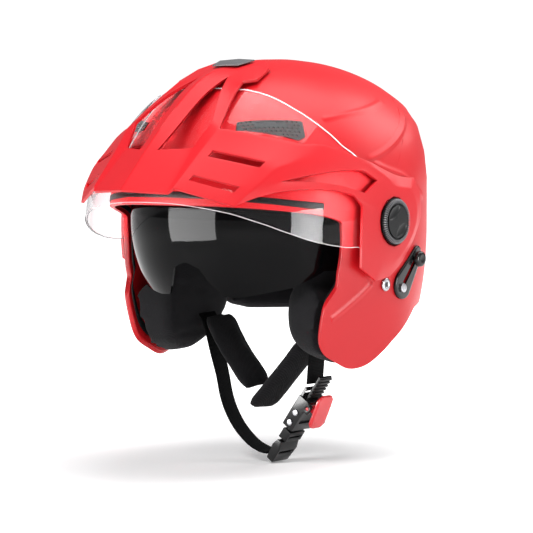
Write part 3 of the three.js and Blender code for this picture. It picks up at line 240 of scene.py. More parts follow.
# ---------------------------------------------------------------- rim and shell
rim_n = np.vstack([
    solAz(shellF, [-90, -80, -70, -60, -50, -42, -35], [13.5, 13.5, 13.2, 12.2, 10.6, 8.8, 6.8]),
    solX(shellF, *np.array([(-53.5, 1.5), (-51, -5), (-50.2, -24), (-51.5, -40), (-51.2, -50), (-55.5, -57.5), (-59.6, -65), (-60.2, -75.5), (-58.9, -89.5), (-56, -97.5), (-50, -103.6), (-38.4, -109.4), (-24.5, -115.2), (-12.8, -115.6), (-2, -112.4), (9.9, -104), (19.9, -94.8), (33, -84.6), (44, -76.4), (54, -71)]).T),
    solAz(shellF, [38, 50, 62, 76, 90], [-69.2, -70, -72.4, -75.6, -77])])
rim_all = np.vstack([rim_n, rim_n[1:-1][::-1] * M])
RD = unit(crom(rim_all, 5, True) - C0)          # rim directions, fine
def dome(pairs, F=shellF, top=None, rd=None):
    """Closed skin: rows (t, offset) from the crown down the outside, round the lip and up the inside."""
    rd = RD if rd is None else rd; n, m = len(rd), len(pairs)
    S = np.stack([solve(F, slerp(rd, np.broadcast_to(POLE, rd.shape), np.full(n, t)), off) for t, off in pairs], 1)
    V = S.reshape(-1, 3); Fc = grid(n, m, True, False)
    p0 = solve(F, POLE[None], pairs[0][1]); p1 = solve(F, POLE[None], pairs[-1][1]); a, b = len(V), len(V) + 1
    for i in range(n): k = (i + 1) % n; Fc += [[a, i * m, k * m], [b, k * m + m - 1, i * m + m - 1]]
    return np.vstack([V, p0, p1]), Fc
TO = [.93, .86, .79, .73, .67, .61, .555, .5, .45, .4, .355, .31, .265, .22, .175, .13, .1, .075, .05, .03, .015, .006]
LIP = [(.0045, -.02), (.0018, -.22), (.0005, -.7), (0, -1.4), (0, -3.1), (.0006, -3.9), (.002, -4.35), (.005, -4.5)]
shell = raw("outer_shell_v", dome([(t, 0) for t in TO] + LIP + [(t, -4.5) for t in TO[::-1]]))
VC = np.array([69.5, -84.7, 69.3]); VN = unit([.50, -.62, .61])
vu = unit(np.array([83.8, -62, 77]) - np.array([42.9, -95.3, 76.2])); vU = unit(vu - VN * (vu @ VN)); vV = np.cross(VN, vU)
vOut = [((np.array(p) - VC) @ vU, (np.array(p) - VC) @ vV) for p in [(42.9, -95.3, 76.2), (83.8, -62, 77), (90.2, -66.6, 64.8), (87.9, -72.4, 61.8), (45, -99.1, 70.1)]]
def inset(P, k):
    c = np.mean(P, 0); return [c + (np.array(p) - c) * (np.linalg.norm(np.array(p) - c) - k) / np.linalg.norm(np.array(p) - c) for p in P]
def vprism(P, h0, h1, sgn=1):
    S = [[(VC + VN * h + vU * p[0] + vV * p[1]) * (np.array([sgn, 1, 1])) for p in P] for h in (h0, h1)]
    return tube(S)
cut = []
for s in (1, -1):
    cut.append(raw("c", lathe([0, 0, 0], [s, 0, 0], [(100, 0), (100, 5.4), (130, 5.4), (130, 0)])))
    cut.append(raw("c", lathe([0, .3, -49.5], [s, 0, 0], [(100, 0), (100, 2.6), (130, 2.6), (130, 0)], 32)))
    cut.append(raw("c", vprism(inset(vOut, 1.2), -18, 18, s)))
W0 = unit(np.cross(LD, [1, 0, 0]))
cut.append(raw("c", prism([116, 34.54, -38.46], LD, [1, 0, 0], W0, 16.5, 12, 2.4)))
boole(shell, cut)
def finish_curved(o, F, body, mat, rep):
    me = o.data; me.polygons.foreach_set("use_smooth", [True] * len(me.polygons))
    V = np.array([v.co[:] for v in me.vertices]) * 1000; G = grad(F, V); N = []
    for p in me.polygons:
        n = np.array(p.normal[:])
        for vi in p.vertices:
            d = float(G[vi] @ n); N.append(tuple(G[vi] if d > .93 else -G[vi] if d < -.93 else n))
    me.normals_split_custom_set(N); me.materials.clear(); me.materials.append(mat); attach(o, body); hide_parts(rep); return o
finish_curved(shell, shellF, "helmet", RED, "outer_shell")
# raised feature lines, low strips that blend into the shell
FEAT = [(.75, 2.4, [(90.3, -48.1, 79.2), (94.6, -34.4, 81.5), (97.6, -10, 85.5), (95.6, 10.9, 89.3), (89.2, 33.5, 94.3)]),
    (.95, 2.6, [(114.6, -22.5, 47.2), (115, -.8, 54.1), (112.6, 18.6, 62.5), (107.5, 35.2, 71), (100.2, 48.6, 79), (91.4, 58.9, 86.5)]),
    (.8, 2.6, [(115.6, -17.2, 45.9), (117.4, 2.3, 40.2), (117.4, 25.6, 34.3), (115.5, 42.5, 25.8), (109.9, 62.3, 16.5)]),
    (.6, 2.6, [(117.8, -9.1, 23.7), (118.1, 6.7, 28.5), (117.4, 25.6, 34.3)]),
    (.9, 2.5, [(114.8, -14.6, -47.2), (110.2, -29.1, -58.9), (104.9, -43.8, -69.2), (101.9, -52, -74.6)])]
for fi, (amp, wd, pts) in enumerate(FEAT):
    Q = crom(np.array(pts), 14); T_ = unit(np.gradient(Q, axis=0)); W_ = unit(np.cross(grad(shellF, Q), T_)); q = np.linspace(0, 1, len(Q)); tp_ = sst(0, .07, q) * sst(0, .07, 1 - q)
    us = np.linspace(-4.6, 4.6, 25); sec = [solve(shellF, unit(Q + W_ * u - C0)) + grad(shellF, Q) * ((amp * tp_ * np.exp(-(u / wd) ** 2)) - .06)[:, None] for u in us]
    sec += [solve(shellF, unit(Q + W_ * u - C0), -1.2) for u in us[::-4]]; sd_ = np.stack(sec, 1)
    for g_, gn in ((1, "left"), (-1, "right")): new("%s_shell_line_%d" % (gn, fi + 1), *tube(sd_ * np.array([g_, 1, 1])), "helmet", RED, "red_paint", 50)


# rubber trim and brow strip
def ring(pts, name, mat, slot, rep):
    S = np.stack([solve(shellF, slerp(RD, np.broadcast_to(POLE, RD.shape), np.full(len(RD), t)), off) for t, off in pts], 1); n, m = S.shape[:2]
    return new(name, S.reshape(-1, 3), grid(n, m, True, True), "helmet", mat, slot, 50, rep)
ring([(.015, -5.75), (.024, -5.7), (.033, -5.75), (.034, -6.2), (.033, -6.65), (.024, -6.7), (.015, -6.65), (.014, -6.2)], "edge_trim_v", RUB, "trim_rubber", "edge_trim")
az = np.linspace(-32.2, -147.8, 121); kk = np.abs(az + 90)
z0 = np.interp(kk, [0, 20, 40, 58], [19.2, 18.6, 14.6, 9.9]); z1 = np.interp(kk, [0, 20, 40, 58], [24, 23.4, 19.4, 15.3])
sec = [(0, .25), (0, .42), (.06, .55), (.15, .6), (.5, .6), (.85, .6), (.94, .55), (1, .42), (1, .25), (.5, .25)]
new("brow_strip_v", *tube(np.stack([solAz(shellF, az, lerp(z0, z1, t), off) for t, off in sec], 1)), "helmet", BLK, "black_plastic", 30, "brow_strip")

# ---------------------------------------------------------------- vents
for s, sd in ((1, "left"), (-1, "right")):
    def layer(o, i): return dome([(t, o) for t in TO[2:-4]] + [(.05, (o + i) / 2)] + [(t, i) for t in TO[2:-4][::-1]])
    g = raw(sd + "_vent_grille_v", layer(.7, -1.5)); k = raw("k", vprism(inset(vOut, 1.6), -14, 14, s)); boole(g, [k], "INTERSECT")
    VV, FF = [], []; ins = inset(vOut, 4.1); poly = np.array(ins)
    def inside(q):
        r = True
        for i in range(len(poly)):
            a, b = poly[i], poly[(i + 1) % len(poly)]; cr = (b[0] - a[0]) * (q[1] - a[1]) - (b[1] - a[1]) * (q[0] - a[0]); r = r and (cr * area < 0 or abs(cr) < 1e-9) if area < 0 else r and cr > 0
        return r
    area = .5 * sum(poly[i][0] * poly[(i + 1) % 5][1] - poly[(i + 1) % 5][0] * poly[i][1] for i in range(5))
    if area < 0: poly = poly[::-1]; area = -area
    P = 3.5
    for r in range(-6, 7):
        for c in range(-10, 11):
            q = np.array([c * P + (r % 2) * P / 2, r * P * .866])
            if inside(q) and not (abs(q[0] + 1) < 12 and abs(q[1] - 7.4) < 3.7):
                S = [[(VC + VN * h + vU * (q[0] + 1.42 * math.cos(t)) + vV * (q[1] + 1.42 * math.sin(t))) * np.array([s, 1, 1]) for t in (np.arange(6) + .5) * math.pi / 3] for h in (-14, 14)]
                v, f = tube(S); FF += [[i + len(VV) * 12 for i in x] for x in f]; VV.append(v)
    mm = np.array([s, 1, 1]); tp = VC - vU + vV * 7.4; sp = solve(shellF, unit(tp - C0)[None])[0]
    boole(g, [raw("k", prism((sp + VN * 1.1) * mm, vU * mm, VN * mm, vV * mm, 10.6, 2.1, 1.9))])
    if VV: boole(g, [raw("k", (np.vstack(VV), FF))])
    g.data.materials.append(MESH); m = g.modifiers.new("e", "BEVEL"); m.width = .00018; m.segments = 2; m.limit_method = "ANGLE"; m.angle_limit = 40 * RAD; bpy.context.view_layer.update(); bake(g); shade(g, 38)
    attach(g, "helmet"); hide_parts(sd + "_vent_grille")
    bk = raw(sd + "_vent_bed", layer(-2.2, -3.3)); boole(bk, [raw("k", vprism(inset(vOut, 1.5), -14, 14, s))], "INTERSECT"); bk.data.materials.append(RED); shade(bk, 40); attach(bk, "helmet")
    clone(sd + "_vent_slider", "vent_" + sd, BLK, .25)

# ---------------------------------------------------------------- peak
CAGE = {"v":{"r0":[0.0,-178.7,26.0],"s0":[13.87,-174.67,25.39],"a0":[36.5,-168.1,24.4],"b0":[39.6,-164.6,28.0],"r1":[0.0,-171.92,33.12],"s1":[12.49,-167.71,32.85],"a1":[35.58,-159.91,32.34],"b1":[40.4,-157.24,35.05],"r2":[0.0,-167.98,37.25],"s2":[11.71,-163.7,37.15],"a2":[35.05,-155.16,36.96],"b2":[40.86,-152.96,39.14],"r3":[0.0,-155.07,50.81],"s3":[9.28,-150.76,51.16],"a3":[33.29,-139.58,52.08],"b3":[42.38,-138.95,52.55],"r4":[0.0,-150.7,55.4],"s4":[8.5,-146.44,55.87],"a4":[32.7,-134.3,57.2],"b4":[42.9,-134.2,57.1],"r5":[0.0,-133.2,72.4],"s5":[10.5,-128.5,71.0],"a5":[38.7,-118.1,76.9],"b5":[46.6,-118.6,72.2],"r6":[0.0,-115.1,88.6],"s6":[11.3,-111.5,85.6],"a6":[27.7,-96.0,97.8],"b6":[41.4,-103.4,86.4],"r7":[0.0,-92.8,106.4],"s7":[13.0,-91.5,102.3],"a7":[20.0,-81.0,106.2],"b7":[35.2,-86.4,99.8],"r8":[0.0,-73.1,116.6],"s8":[14.7,-68.9,112.5],"b8":[32.5,-73.0,109.0],"r9":[0.0,-57.0,120.3],"s9":[17.0,-54.0,119.6],"b9":[39.5,-63.5,110.3],"r10":[0.0,-30.0,127.3],"s10":[23.8,-33.7,125.6],"b10":[36.3,-44.0,119.8],"f00":[44.46,-161.26,26.21],"f01":[70.27,-143.53,16.68],"f02":[77.0,-138.9,14.2],"f10":[45.99,-154.05,33.49],"f11":[74.87,-136.41,24.5],"f12":[82.0,-131.41,21.79],"f20":[46.79,-149.79,37.65],"f21":[77.26,-132.04,28.89],"f22":[84.69,-126.91,26.14],"f30":[49.08,-135.58,51.21],"f31":[83.22,-116.27,42.8],"f32":[91.37,-110.49,39.91],"f40":[49.74,-130.66,55.77],"f41":[84.52,-110.37,47.32],"f42":[92.76,-104.27,44.37],"f50":[53.47,-114.09,71.02],"f51":[88.02,-88.25,63.03],"f52":[96.0,-80.5,60.0],"e1":[91.0,-118.38,23.84],"e2":[107.18,-91.64,27.44],"e3":[116.91,-65.64,26.11],"e4":[121.29,-48.45,21.36],"h0":[96.52,-107.02,32.35],"d2":[108.39,-85.77,32.45],"d3":[118.23,-58.47,28.8],"d4":[122.92,-35.54,22.79],"c2":[109.91,-77.77,38.59],"c3":[116.94,-53.52,40.69],"c4":[120.4,-35.64,40.5],"c5":[123.29,-20.06,32.26],"t1":[101.6,-70.47,60.65],"t2":[107.1,-62.61,59.2],"t3":[117.62,-40.59,50.91],"t4":[119.86,-22.86,45.79],"t5":[119.73,12.29,33.8],"m1":[100.63,-90.81,46.53],"m2":[110.88,-67.7,47.45],"m3":[117.16,-48.01,45.18],"m4":[120.95,-25.72,43.91],"m5":[123.89,-1.66,32.97],"w1":[123.33,-39.23,13.18],"w2":[123.71,-40.49,0.78],"w3":[123.42,-40.8,-16.8],"w4":[122.34,-39.74,-34.87],"w5":[122.8,-20.83,-45.57],"w6":[120.28,1.0,-43.0],"w7":[121.19,15.0,-34.0],"w8":[120.75,34.0,-16.0],"w9":[119.52,45.0,2.0],"w10":[119.51,44.5,20.0],"w11":[120.42,33.5,33.5],"k0":[125.3,-17.93,7.91],"g0":[124.34,-34.72,15.31],"k1":[125.3,-18.58,6.24],"g1":[124.4,-29.93,10.06],"k2":[125.3,-19.6,0.38],"g2":[124.4,-31.09,0.6],"k3":[125.3,-18.12,-7.46],"g3":[124.4,-30.6,-12.59],"k4":[125.3,-14.73,-12.93],"g4":[124.34,-28.49,-24.99],"k5":[125.3,-8.15,-17.83],"g5":[124.4,-15.12,-33.08],"k6":[125.3,0.46,-19.59],"g6":[124.4,0.76,-32.47],"k7":[125.3,7.91,-17.93],"g7":[124.4,11.81,-26.77],"k8":[125.3,17.73,-8.35],"g8":[124.4,26.68,-12.56],"k9":[125.3,19.58,0.87],"g9":[124.4,33.56,1.49],"k10":[125.3,17.88,8.03],"g10":[124.4,32.52,14.62],"k11":[125.3,13.86,13.86],"g11":[124.4,24.66,24.66],"k12":[125.3,6.7,18.42],"g12":[124.4,9.77,26.88],"k13":[125.3,-0.98,19.58],"g13":[124.4,-1.35,26.95],"k14":[125.3,-10.35,16.65],"g14":[124.4,-15.69,25.23],"k15":[125.3,-16.5,10.58],"g15":[124.4,-26.97,17.3]},"f":[["r0","s0","s1","r1"],["s0","a0","a1","s1"],["a0","b0","b1","a1"],["r1","s1","s2","r2"],["s1","a1","a2","s2"],["a1","b1","b2","a2"],["r2","s2","s3","r3"],["s2","a2","a3","s3"],["a2","b2","b3","a3"],["r3","s3","s4","r4"],["s3","a3","a4","s4"],["a3","b3","b4","a4"],["r4","s4","s5","r5"],["r5","s5","s6","r6"],["r6","s6","s7","r7"],["r7","s7","s8","r8"],["a4","b4","b5","a5"],["a5","b5","b6","a6"],["a6","b6","b7","a7"],["a7","b7","b8","s8"],["r8","s8","s9","r9"],["s8","b8","b9","s9"],["r9","s9","s10","r10"],["s9","b9","b10","s10"],["b0","f00","f10","b1"],["f00","f01","f11","f10"],["f01","f02","f12","f11"],["b1","f10","f20","b2"],["f11","f12","f22","f21"],["b2","f20","f30","b3"],["f20","f21","f31","f30"],["f21","f22","f32","f31"],["b3","f30","f40","b4"],["f31","f32","f42","f41"],["b4","f40","f50","b5"],["f40","f41","f51","f50"],["f41","f42","f52","f51"],["f02","e1","f22","f12"],["e1","h0","f32","f22"],["h0","m1","f42","f32"],["m1","t1","f52","f42"],["e1","e2","d2","h0"],["e2","e3","d3","d2"],["e3","e4","d4","d3"],["h0","c2","m2","m1"],["m1","m2","t2","t1"],["c2","c3","m3","m2"],["m2","m3","t3","t2"],["c3","c4","m4","m3"],["m3","m4","t4","t3"],["c4","c5","m5","m4"],["m4","m5","t5","t4"],["e4","w1","g1","g0"],["g0","g1","k1","k0"],["w1","w2","g2","g1"],["g1","g2","k2","k1"],["w2","w3","g3","g2"],["g2","g3","k3","k2"],["w3","w4","g4","g3"],["g3","g4","k4","k3"],["w4","w5","g5","g4"],["g4","g5","k5","k4"],["w5","w6","g6","g5"],["g5","g6","k6","k5"],["w6","w7","g7","g6"],["g6","g7","k7","k6"],["w7","w8","g8","g7"],["g7","g8","k8","k7"],["w8","w9","g9","g8"],["g8","g9","k9","k8"],["w9","w10","g10","g9"],["g9","g10","k10","k9"],["w10","w11","g11","g10"],["g10","g11","k11","k10"],["w11","t5","g12","g11"],["g11","g12","k12","k11"],["t5","m5","g13","g12"],["g12","g13","k13","k12"],["m5","c5","g14","g13"],["g13","g14","k14","k13"],["c5","d4","g15","g14"],["g14","g15","k15","k14"],["d4","e4","g0","g15"],["g15","g0","k0","k15"]]}
key = {}; PV = []; PF = []
def vid(p):
    k = tuple(round(float(x), 2) + 0. for x in p)
    if k not in key: key[k] = len(PV); PV.append(p)
    return key[k]
for f in CAGE["f"]:
    PF.append([vid(CAGE["v"][i]) for i in f]); PF.append([vid([-CAGE["v"][i][0]] + CAGE["v"][i][1:]) for i in f][::-1])
peak = new("peak_v", PV, PF, None, None, smooth=False)
bm = bmesh.new(); bm.from_mesh(peak.data); cl = bm.edges.layers.float.get("crease_edge") or bm.edges.layers.float.new("crease_edge")
mid = Vector((0, .02, 0)); tot = sum(f.normal.dot(f.calc_center_median() - mid) for f in bm.faces)
if tot < 0: bmesh.ops.reverse_faces(bm, faces=bm.faces)
cv = bm.verts.layers.float.get("crease_vert") or bm.verts.layers.float.new("crease_vert")
for e in bm.edges:
    if len(e.link_faces) < 2: e[cl] = 1
    else:
        a = e.calc_face_angle(0) / RAD; e[cl] = 1 if a > 24 else .9 if a > 13 else 0
for v in bm.verts:                              # corners of the outline and of the openings stay angular
    be = [e for e in v.link_edges if len(e.link_faces) == 1]
    if len(be) == 2:
        d0 = (v.co - be[0].other_vert(v).co).normalized(); d1 = (be[1].other_vert(v).co - v.co).normalized()
        if d0.dot(d1) < math.cos(19 * RAD): v[cv] = 1
bm.to_mesh(peak.data); bm.free()
m = peak.modifiers.new("s", "SUBSURF"); m.levels = 3; m.render_levels = 3; m.boundary_smooth = "PRESERVE_CORNERS"
m = peak.modifiers.new("t", "SOLIDIFY"); m.thickness = .0023; m.offset = -1; m.use_even_offset = False
m = peak.modifiers.new("e", "BEVEL"); m.width = .0006; m.segments = 3; m.limit_method = "ANGLE"; m.angle_limit = 50 * RAD; m.use_clamp_overlap = True
bpy.context.view_layer.update(); bake(peak); peak.data.materials.append(REDP); shade(peak, 42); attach(peak, "helmet"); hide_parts("peak")
clone("peak_crown_insert", "helmet", GREY, .3)

# ---------------------------------------------------------------- visor and inner shield
VPHI = [-60, -10, 5.6, 15, 23, 31, 38, 50, 57, 90]; VR = [160, 156, 152, 146.5, 141.3, 137.5, 135, 131.6, 130.4, 130]
KX = [0, .15, .3, .413, .526, .64, .714, .79, .865, .917, .962, 1]; XX = [121.5, 120.7, 118.7, 116.2, 110.3, 101, 92.5, 81.5, 67.5, 55, 39, 0]
def sm(x, X, Y):
    """Interpolation eased over +-2% of the span so the sheet has no visible kinks."""
    w = (X[-1] - X[0]) * .02; return sum(np.interp(x + w * k, X, Y) for k in (-1, -.5, 0, .5, 1)) / 5
def vispt(s, v, off):
    k = np.maximum(.085, np.cos(s * math.pi / 2) ** .8)
    lo = np.interp(k * 151.5, [12, 20, 30, 44, 62, 76, 96, 116, 134, 146, 151.5], [-88, -62, -40, -24.1, -15.9, -10.9, -5.1, -.3, 3.3, 5, 5.9])
    hi = np.interp(k * 131.5, [12, 22, 40, 62, 73, 85, 97, 108, 117, 123, 127, 131], [120, 92, 64, 55.3, 52.7, 53, 53.4, 53.8, 54.2, 54.2, 53.6, 52.4])
    ph = lerp(lo, hi, v); rm = sm(ph, VPHI, VR); r = k * rm
    x = lerp(121.5 * np.maximum(0, 1 - k ** 2.5) ** .4, np.interp(k, KX, XX), sst(8, 30, ph)) * (1 + off / 121.5); q = r * (1 + off / rm)
    return np.stack([x, -q * np.cos(ph * RAD), q * np.sin(ph * RAD)], -1)
def shpt(s, v, off):
    k = np.maximum(.09, np.cos(s * math.pi / 2) ** .8); r0 = 108 * k; x0 = 100 * np.maximum(0, 1 - k ** 2.4) ** (1 / 2.4)
    lo = np.interp(x0, [0, 5, 13, 19, 27, 39, 52, 63, 75, 82, 90, 96, 99], [-17, -17.6, -19.8, -26.2, -32.9, -34.3, -34.6, -35.4, -38, -38.4, -40, -56, -80])
    hi = np.interp(x0, [0, 60, 88, 95, 99], [11, 10, 12, 24, 70]); ph = lerp(lo, hi, v) * RAD; q = r0 + off * (r0 / 108)
    return np.stack([x0 * (1 + off / 100), -q * np.cos(ph), q * np.sin(ph)], -1)
def sheetmesh(name, pt, n, vv, half, ear, body, mat, rep):
    s = np.linspace(-1, 1, 2 * n + 1); secs = []
    rows = [(v, half) for v in vv] + [(1, 0)] + [(v, -half) for v in vv[::-1]] + [(0, 0)]
    S = np.stack([pt(np.abs(s), v, off) * np.where(s[:, None] < 0, M, 1) for v, off in rows], 1)
    o = raw(name, tube(S)); r, x0, x1, hr = ear
    boole(o, [raw("c", lathe([0, 0, 0], [g, 0, 0], [(x0, 0), (x0, r), (x1, r), (x1, 0)], 96)) for g in (1, -1)], "UNION")
    boole(o, [raw("c", lathe([0, 0, 0], [g, 0, 0], [(90, 0), (90, hr), (130, hr), (130, 0)], 64)) for g in (1, -1)])
    o.data.materials.clear(); o.data.materials.append(mat); shade(o, 32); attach(o, body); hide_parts(rep); return o
VVS = [0, .012] + list(np.linspace(.04, .96, 24)) + [.988, 1]
sheetmesh("outer_visor_v", vispt, 80, VVS, .93, (17, 120.4, 122.45, 9.6), "visor", CLR, "outer_visor")
sheetmesh("sun_shield_v", shpt, 72, VVS, .98, (11, 98.6, 101.15, 4.9), "shield", SMK, "sun_shield")

def bead(name, Q, r, body, mat, slot):
    T_ = unit(np.gradient(Q, axis=0)); u = unit(np.cross(T_, [0, 0, 1.])); w_ = np.cross(T_, u); t = np.arange(10) / 10 * 2 * math.pi
    return new(name, *tube(Q[:, None] + u[:, None] * (r * np.cos(t))[None, :, None] + w_[:, None] * (r * np.sin(t))[None, :, None]), body, mat, slot, 60)
sE = np.linspace(-.93, .93, 201)
# thin light-coloured beads along the visor's upper and lower edges: painted highlight standing in for light caught by
# the clear edge
bead("visor_edge_upper", vispt(np.abs(sE), .997, 0) * np.where(sE[:, None] < 0, M, 1), .5, "visor", EDGE_HIGHLIGHT, "clear_visor")
bead("visor_edge_lower", vispt(np.abs(sE), .004, 0) * np.where(sE[:, None] < 0, M, 1), .22, "visor", EDGE_HIGHLIGHT, "clear_visor")
# ---------------------------------------------------------------- side covers, pivots, lever
def dial(sd, s):
    n = 720; th = np.arange(n) / n * 2 * math.pi
    R = [0, 2, 4, 5, 5.6, 6.2, 6.8, 7.4, 8, 8.6, 9.2, 9.8, 10.4, 11, 11.6, 12.2, 12.6, 12.85, 12.95, 13.05, 13.2, 13.4, 13.8, 14.1, 14.4, 14.8, 15.2, 15.5, 16.2, 16.9, 17.5, 17.9, 18.1, 18.2]
    c = 35 * RAD; ring_ = []
    for r in R:
        y, z = r * np.cos(th), r * np.sin(th); a = y * math.cos(c) + z * math.sin(c); b = -y * math.sin(c) + z * math.cos(c)
        sc = np.clip(1 - (a / 8.2) ** 2 - ((np.abs(b) - 8.4) / 3.6) ** 2, 0, 1) ** .5
        h = np.full(n, 128.85); h = np.where(r < 12.9, 128.85 - 1.05 * sc, h)
        if 12.9 < r < 13.5: h = np.full(n, 127.45)
        if r >= 13.5: h = np.full(n, 128.55) - np.interp(r, [13.5, 15.2, 16.2, 17.2, 18.2], [.25, 0, .25, .9, 1.8])
        rib = np.clip(.5 + .9 * np.cos(th * 60), 0, 1); rr = r
        if r > 14.1: h = h - .85 * (1 - rib) * np.interp(r, [14.1, 14.7], [0, 1]); rr = r - .5 * (1 - rib) * np.interp(r, [16, 18], [0, 1])
        ring_.append(np.stack([h, rr * np.cos(th), rr * np.sin(th)], -1))
    rib = np.clip(.5 + .9 * np.cos(th * 60), 0, 1)
    for x, rr in ((125.6, 18.2), (125.1, 17.9), (125.02, 17.0), (125.02, 9), (125.02, 0.001)):
        q = rr - (.5 * (1 - rib) if rr > 17.5 else 0); ring_.append(np.stack([np.full(n, x), q * np.cos(th), q * np.sin(th)], -1))
    V, F = tube(np.array(ring_), cap=False)
    return new(sd + "_dial_v", V * np.array([s, 1, 1]), F, "dial_" + sd, BLK, "black_plastic", 40, sd + "_dial")
# ribs round the dial rim, coloured lighter than the black dial: painted highlight
def ribs(sd, s):
    VV, FF = [], []
    for i in range(60):
        t = i * math.pi / 30; c_, s_ = math.cos(t), math.sin(t); r_ = np.array([0, c_, s_]); q_ = np.array([0, -s_, c_])
        v, f = tube([[np.array([126.6 if e_ < 0 else 128.75 - dr, 0, 0]) + r_ * r0 + q_ * (wq * .42) for e_, wq in ((-1, -1), (1, -.55), (1, .55), (-1, 1))] for r0, dr in ((14.3, .5), (14.6, 0), (16.6, 0), (17.6, .7))])
        FF += [[k_ + len(VV) * 16 for k_ in x] for x in f]; VV.append(v)
    return new(sd + "_dial_ribs", np.vstack(VV) * np.array([s, 1, 1]), FF, "dial_" + sd, RIB_HIGHLIGHT, "black_plastic", 30)
rx = float(solX(shellF, .3, -49.5)[0])
for s, sd in ((1, "left"), (-1, "right")):
    dial(sd, s); ribs(sd, s)
    X = [s, 0, 0]
    new(sd + "_pivot_base_v", *lathe([0, 0, 0], X, [(113.2, 0), (113.2, 4.6), (113.5, 4.9), (118.9, 4.9), (118.9, 12.1), (119.1, 12.4), (119.5, 12.4), (119.7, 12.1), (119.7, 9), (124.2, 9), (124.6, 8.6), (124.6, 0)]), "helmet", BLK, "black_plastic", 30, sd + "_pivot_base")
    new(sd + "_shield_pivot_v", *lathe([0, 0, 0], X, [(96.8, 0), (96.8, 6.6), (97.2, 7), (97.9, 7), (98.2, 6.7), (98.2, 4.4), (102, 4.4), (102, 7.7), (102.3, 8), (112.3, 8), (112.6, 7.7), (112.6, 0)]), "helmet", BLK, "black_plastic", 30, sd + "_shield_pivot")
    new(sd + "_strap_rivet_v", *lathe([s * rx, .3, -49.5], X, [(-9.9, 0), (-9.9, 2.3), (.25, 2.3), (.25, 4.9), (.5, 5.2), (.9, 5.2), (1.35, 5.0), (1.7, 4.5), (1.88, 3.9), (1.9, 3.2), (1.8, 2.6), (1.5, 2.2), (1.0, 2.1), (1.0, 0)], 72), "helmet", STL, "steel", 40, sd + "_strap_rivet")
    new(sd + "_rivet_core", *lathe([s * rx, .3, -49.5], X, [(1.02, 0), (1.02, 1.9), (1.12, 1.85), (1.15, 1.2), (1.15, 0)], 48), "helmet", DRK, "steel", 40)
    clone(sd + "_anchor_plate", "helmet", STL, .2)
# lever base with rounded section hugging the shell
O = np.array([0, 22.8, -50.2])
def outline(off):
    P = []
    for i in range(49): t = (90 + i * 180 / 48) * RAD; P.append((math.cos(t) * (12 - off), math.sin(t) * (12 - off)))
    for i in range(33): t = (-90 + i * 180 / 32) * RAD; P.append((31 + math.cos(t) * (7.5 - off), math.sin(t) * (7.5 - off)))
    return P
def onshell(P, h): a = np.array(P); Q = O + a[:, :1] * LD + a[:, 1:] * W0; return solX(shellF, Q[:, 1], Q[:, 2], h)
S = [onshell(outline(o), h) for o, h in ((0, .3), (0, 1.6), (.15, 2.0), (.5, 2.35), (1.0, 2.5), (1.6, 2.55))] + [onshell(outline(3.2), 2.5)]
base = raw("lever_base_v", tube(S)); boole(base, [raw("c", prism([118, 34.54, -38.46], LD, [1, 0, 0], W0, 16.2, 12, 2.4))])
base.data.materials.append(GLS); shade(base, 36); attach(base, "helmet"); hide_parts("lever_base")
K = O + LD * 27; kx = float(solX(shellF, K[1], K[2])[0]); H = O - LD * 4; hx = float(solX(shellF, H[1], H[2])[0])
new("sun_shield_lever_v", *lathe([kx, K[1], K[2]], [1, 0, 0], [(-9, 0), (-9, 4.4), (-8.8, 4.6), (-6.4, 4.6), (-6.2, 4.4), (-6.2, 1.7), (4.3, 1.7), (4.3, 6.1), (4.6, 6.4), (6.9, 6.0), (7.5, 5.6), (7.9, 4.8), (8.1, 3.6), (7.85, 2.4), (7.75, 0)], 80), "lever", GLS, "black_plastic", 36, "sun_shield_lever")
new("lever_screw_v", *lathe([hx, H[1], H[2]], [1, 0, 0], [(2.0, 0), (2.0, 3.3), (3.2, 3.6), (3.9, 3.6), (4.2, 3.4), (4.38, 2.9), (4.4, 1.8), (4.0, 1.5), (4.0, 0)], 64), "helmet", STL, "steel", 36, "lever_screw")

# ---------------------------------------------------------------- soft goods
def soft(node, name, mat, voxel, cap, pressure=3., shrink=.0008, seams=None, sim=True):
    me = NODES[node].data.copy(); o = bpy.data.objects.new(name, me); bpy.context.scene.collection.objects.link(o)
    bm = bmesh.new(); bm.from_mesh(me); bmesh.ops.remove_doubles(bm, verts=bm.verts, dist=1e-6); bm.to_mesh(me); bm.free()
    m = o.modifiers.new("r", "REMESH"); m.mode = "VOXEL"; m.voxel_size = voxel; m = o.modifiers.new("s", "SMOOTH"); m.iterations = 5; m.factor = .5
    bpy.context.view_layer.update(); bake(o); me = o.data
    P0 = np.array([v.co[:] for v in me.vertices]); N = np.array([v.normal[:] for v in me.vertices]); P = P0 - N * shrink
    me.vertices.foreach_set("co", P.ravel()); me.update()
    if sim:
        c = o.modifiers.new("c", "CLOTH"); st = c.settings; st.quality = 4; st.mass = .15; st.use_pressure = True; st.uniform_pressure_force = pressure; st.tension_stiffness = 15; st.compression_stiffness = 15; st.bending_stiffness = .5
        st.effector_weights.gravity = 0; c.point_cache.frame_start = 1; c.point_cache.frame_end = 20
        sc = bpy.context.scene
        for f in range(1, 21): sc.frame_set(f)
        dg = bpy.context.evaluated_depsgraph_get(); em = o.evaluated_get(dg).data; Q = np.array([v.co[:] for v in em.vertices])
        o.modifiers.clear(); sc.frame_set(1)
        if len(Q) == len(P) and np.isfinite(Q).all():
            D = Q - P; L = np.linalg.norm(D, axis=1, keepdims=True); P = P + D * np.minimum(1, cap / np.maximum(L, 1e-9))
        me.vertices.foreach_set("co", P.ravel()); me.update()
    if seams is not None:
        N = np.array([v.normal[:] for v in me.vertices]); P = P - N * seams(P * 1000, N)[:, None] * .001; me.vertices.foreach_set("co", P.ravel()); me.update()
    m = o.modifiers.new("d", "SUBSURF"); m.levels = 1; m.render_levels = 1; bpy.context.view_layer.update(); bake(o)
    o.data.materials.clear(); o.data.materials.append(mat); shade(o, 80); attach(o, "helmet"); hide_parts(node); return o
def groove(d, w, depth): return depth * np.exp(-(d / w) ** 2)
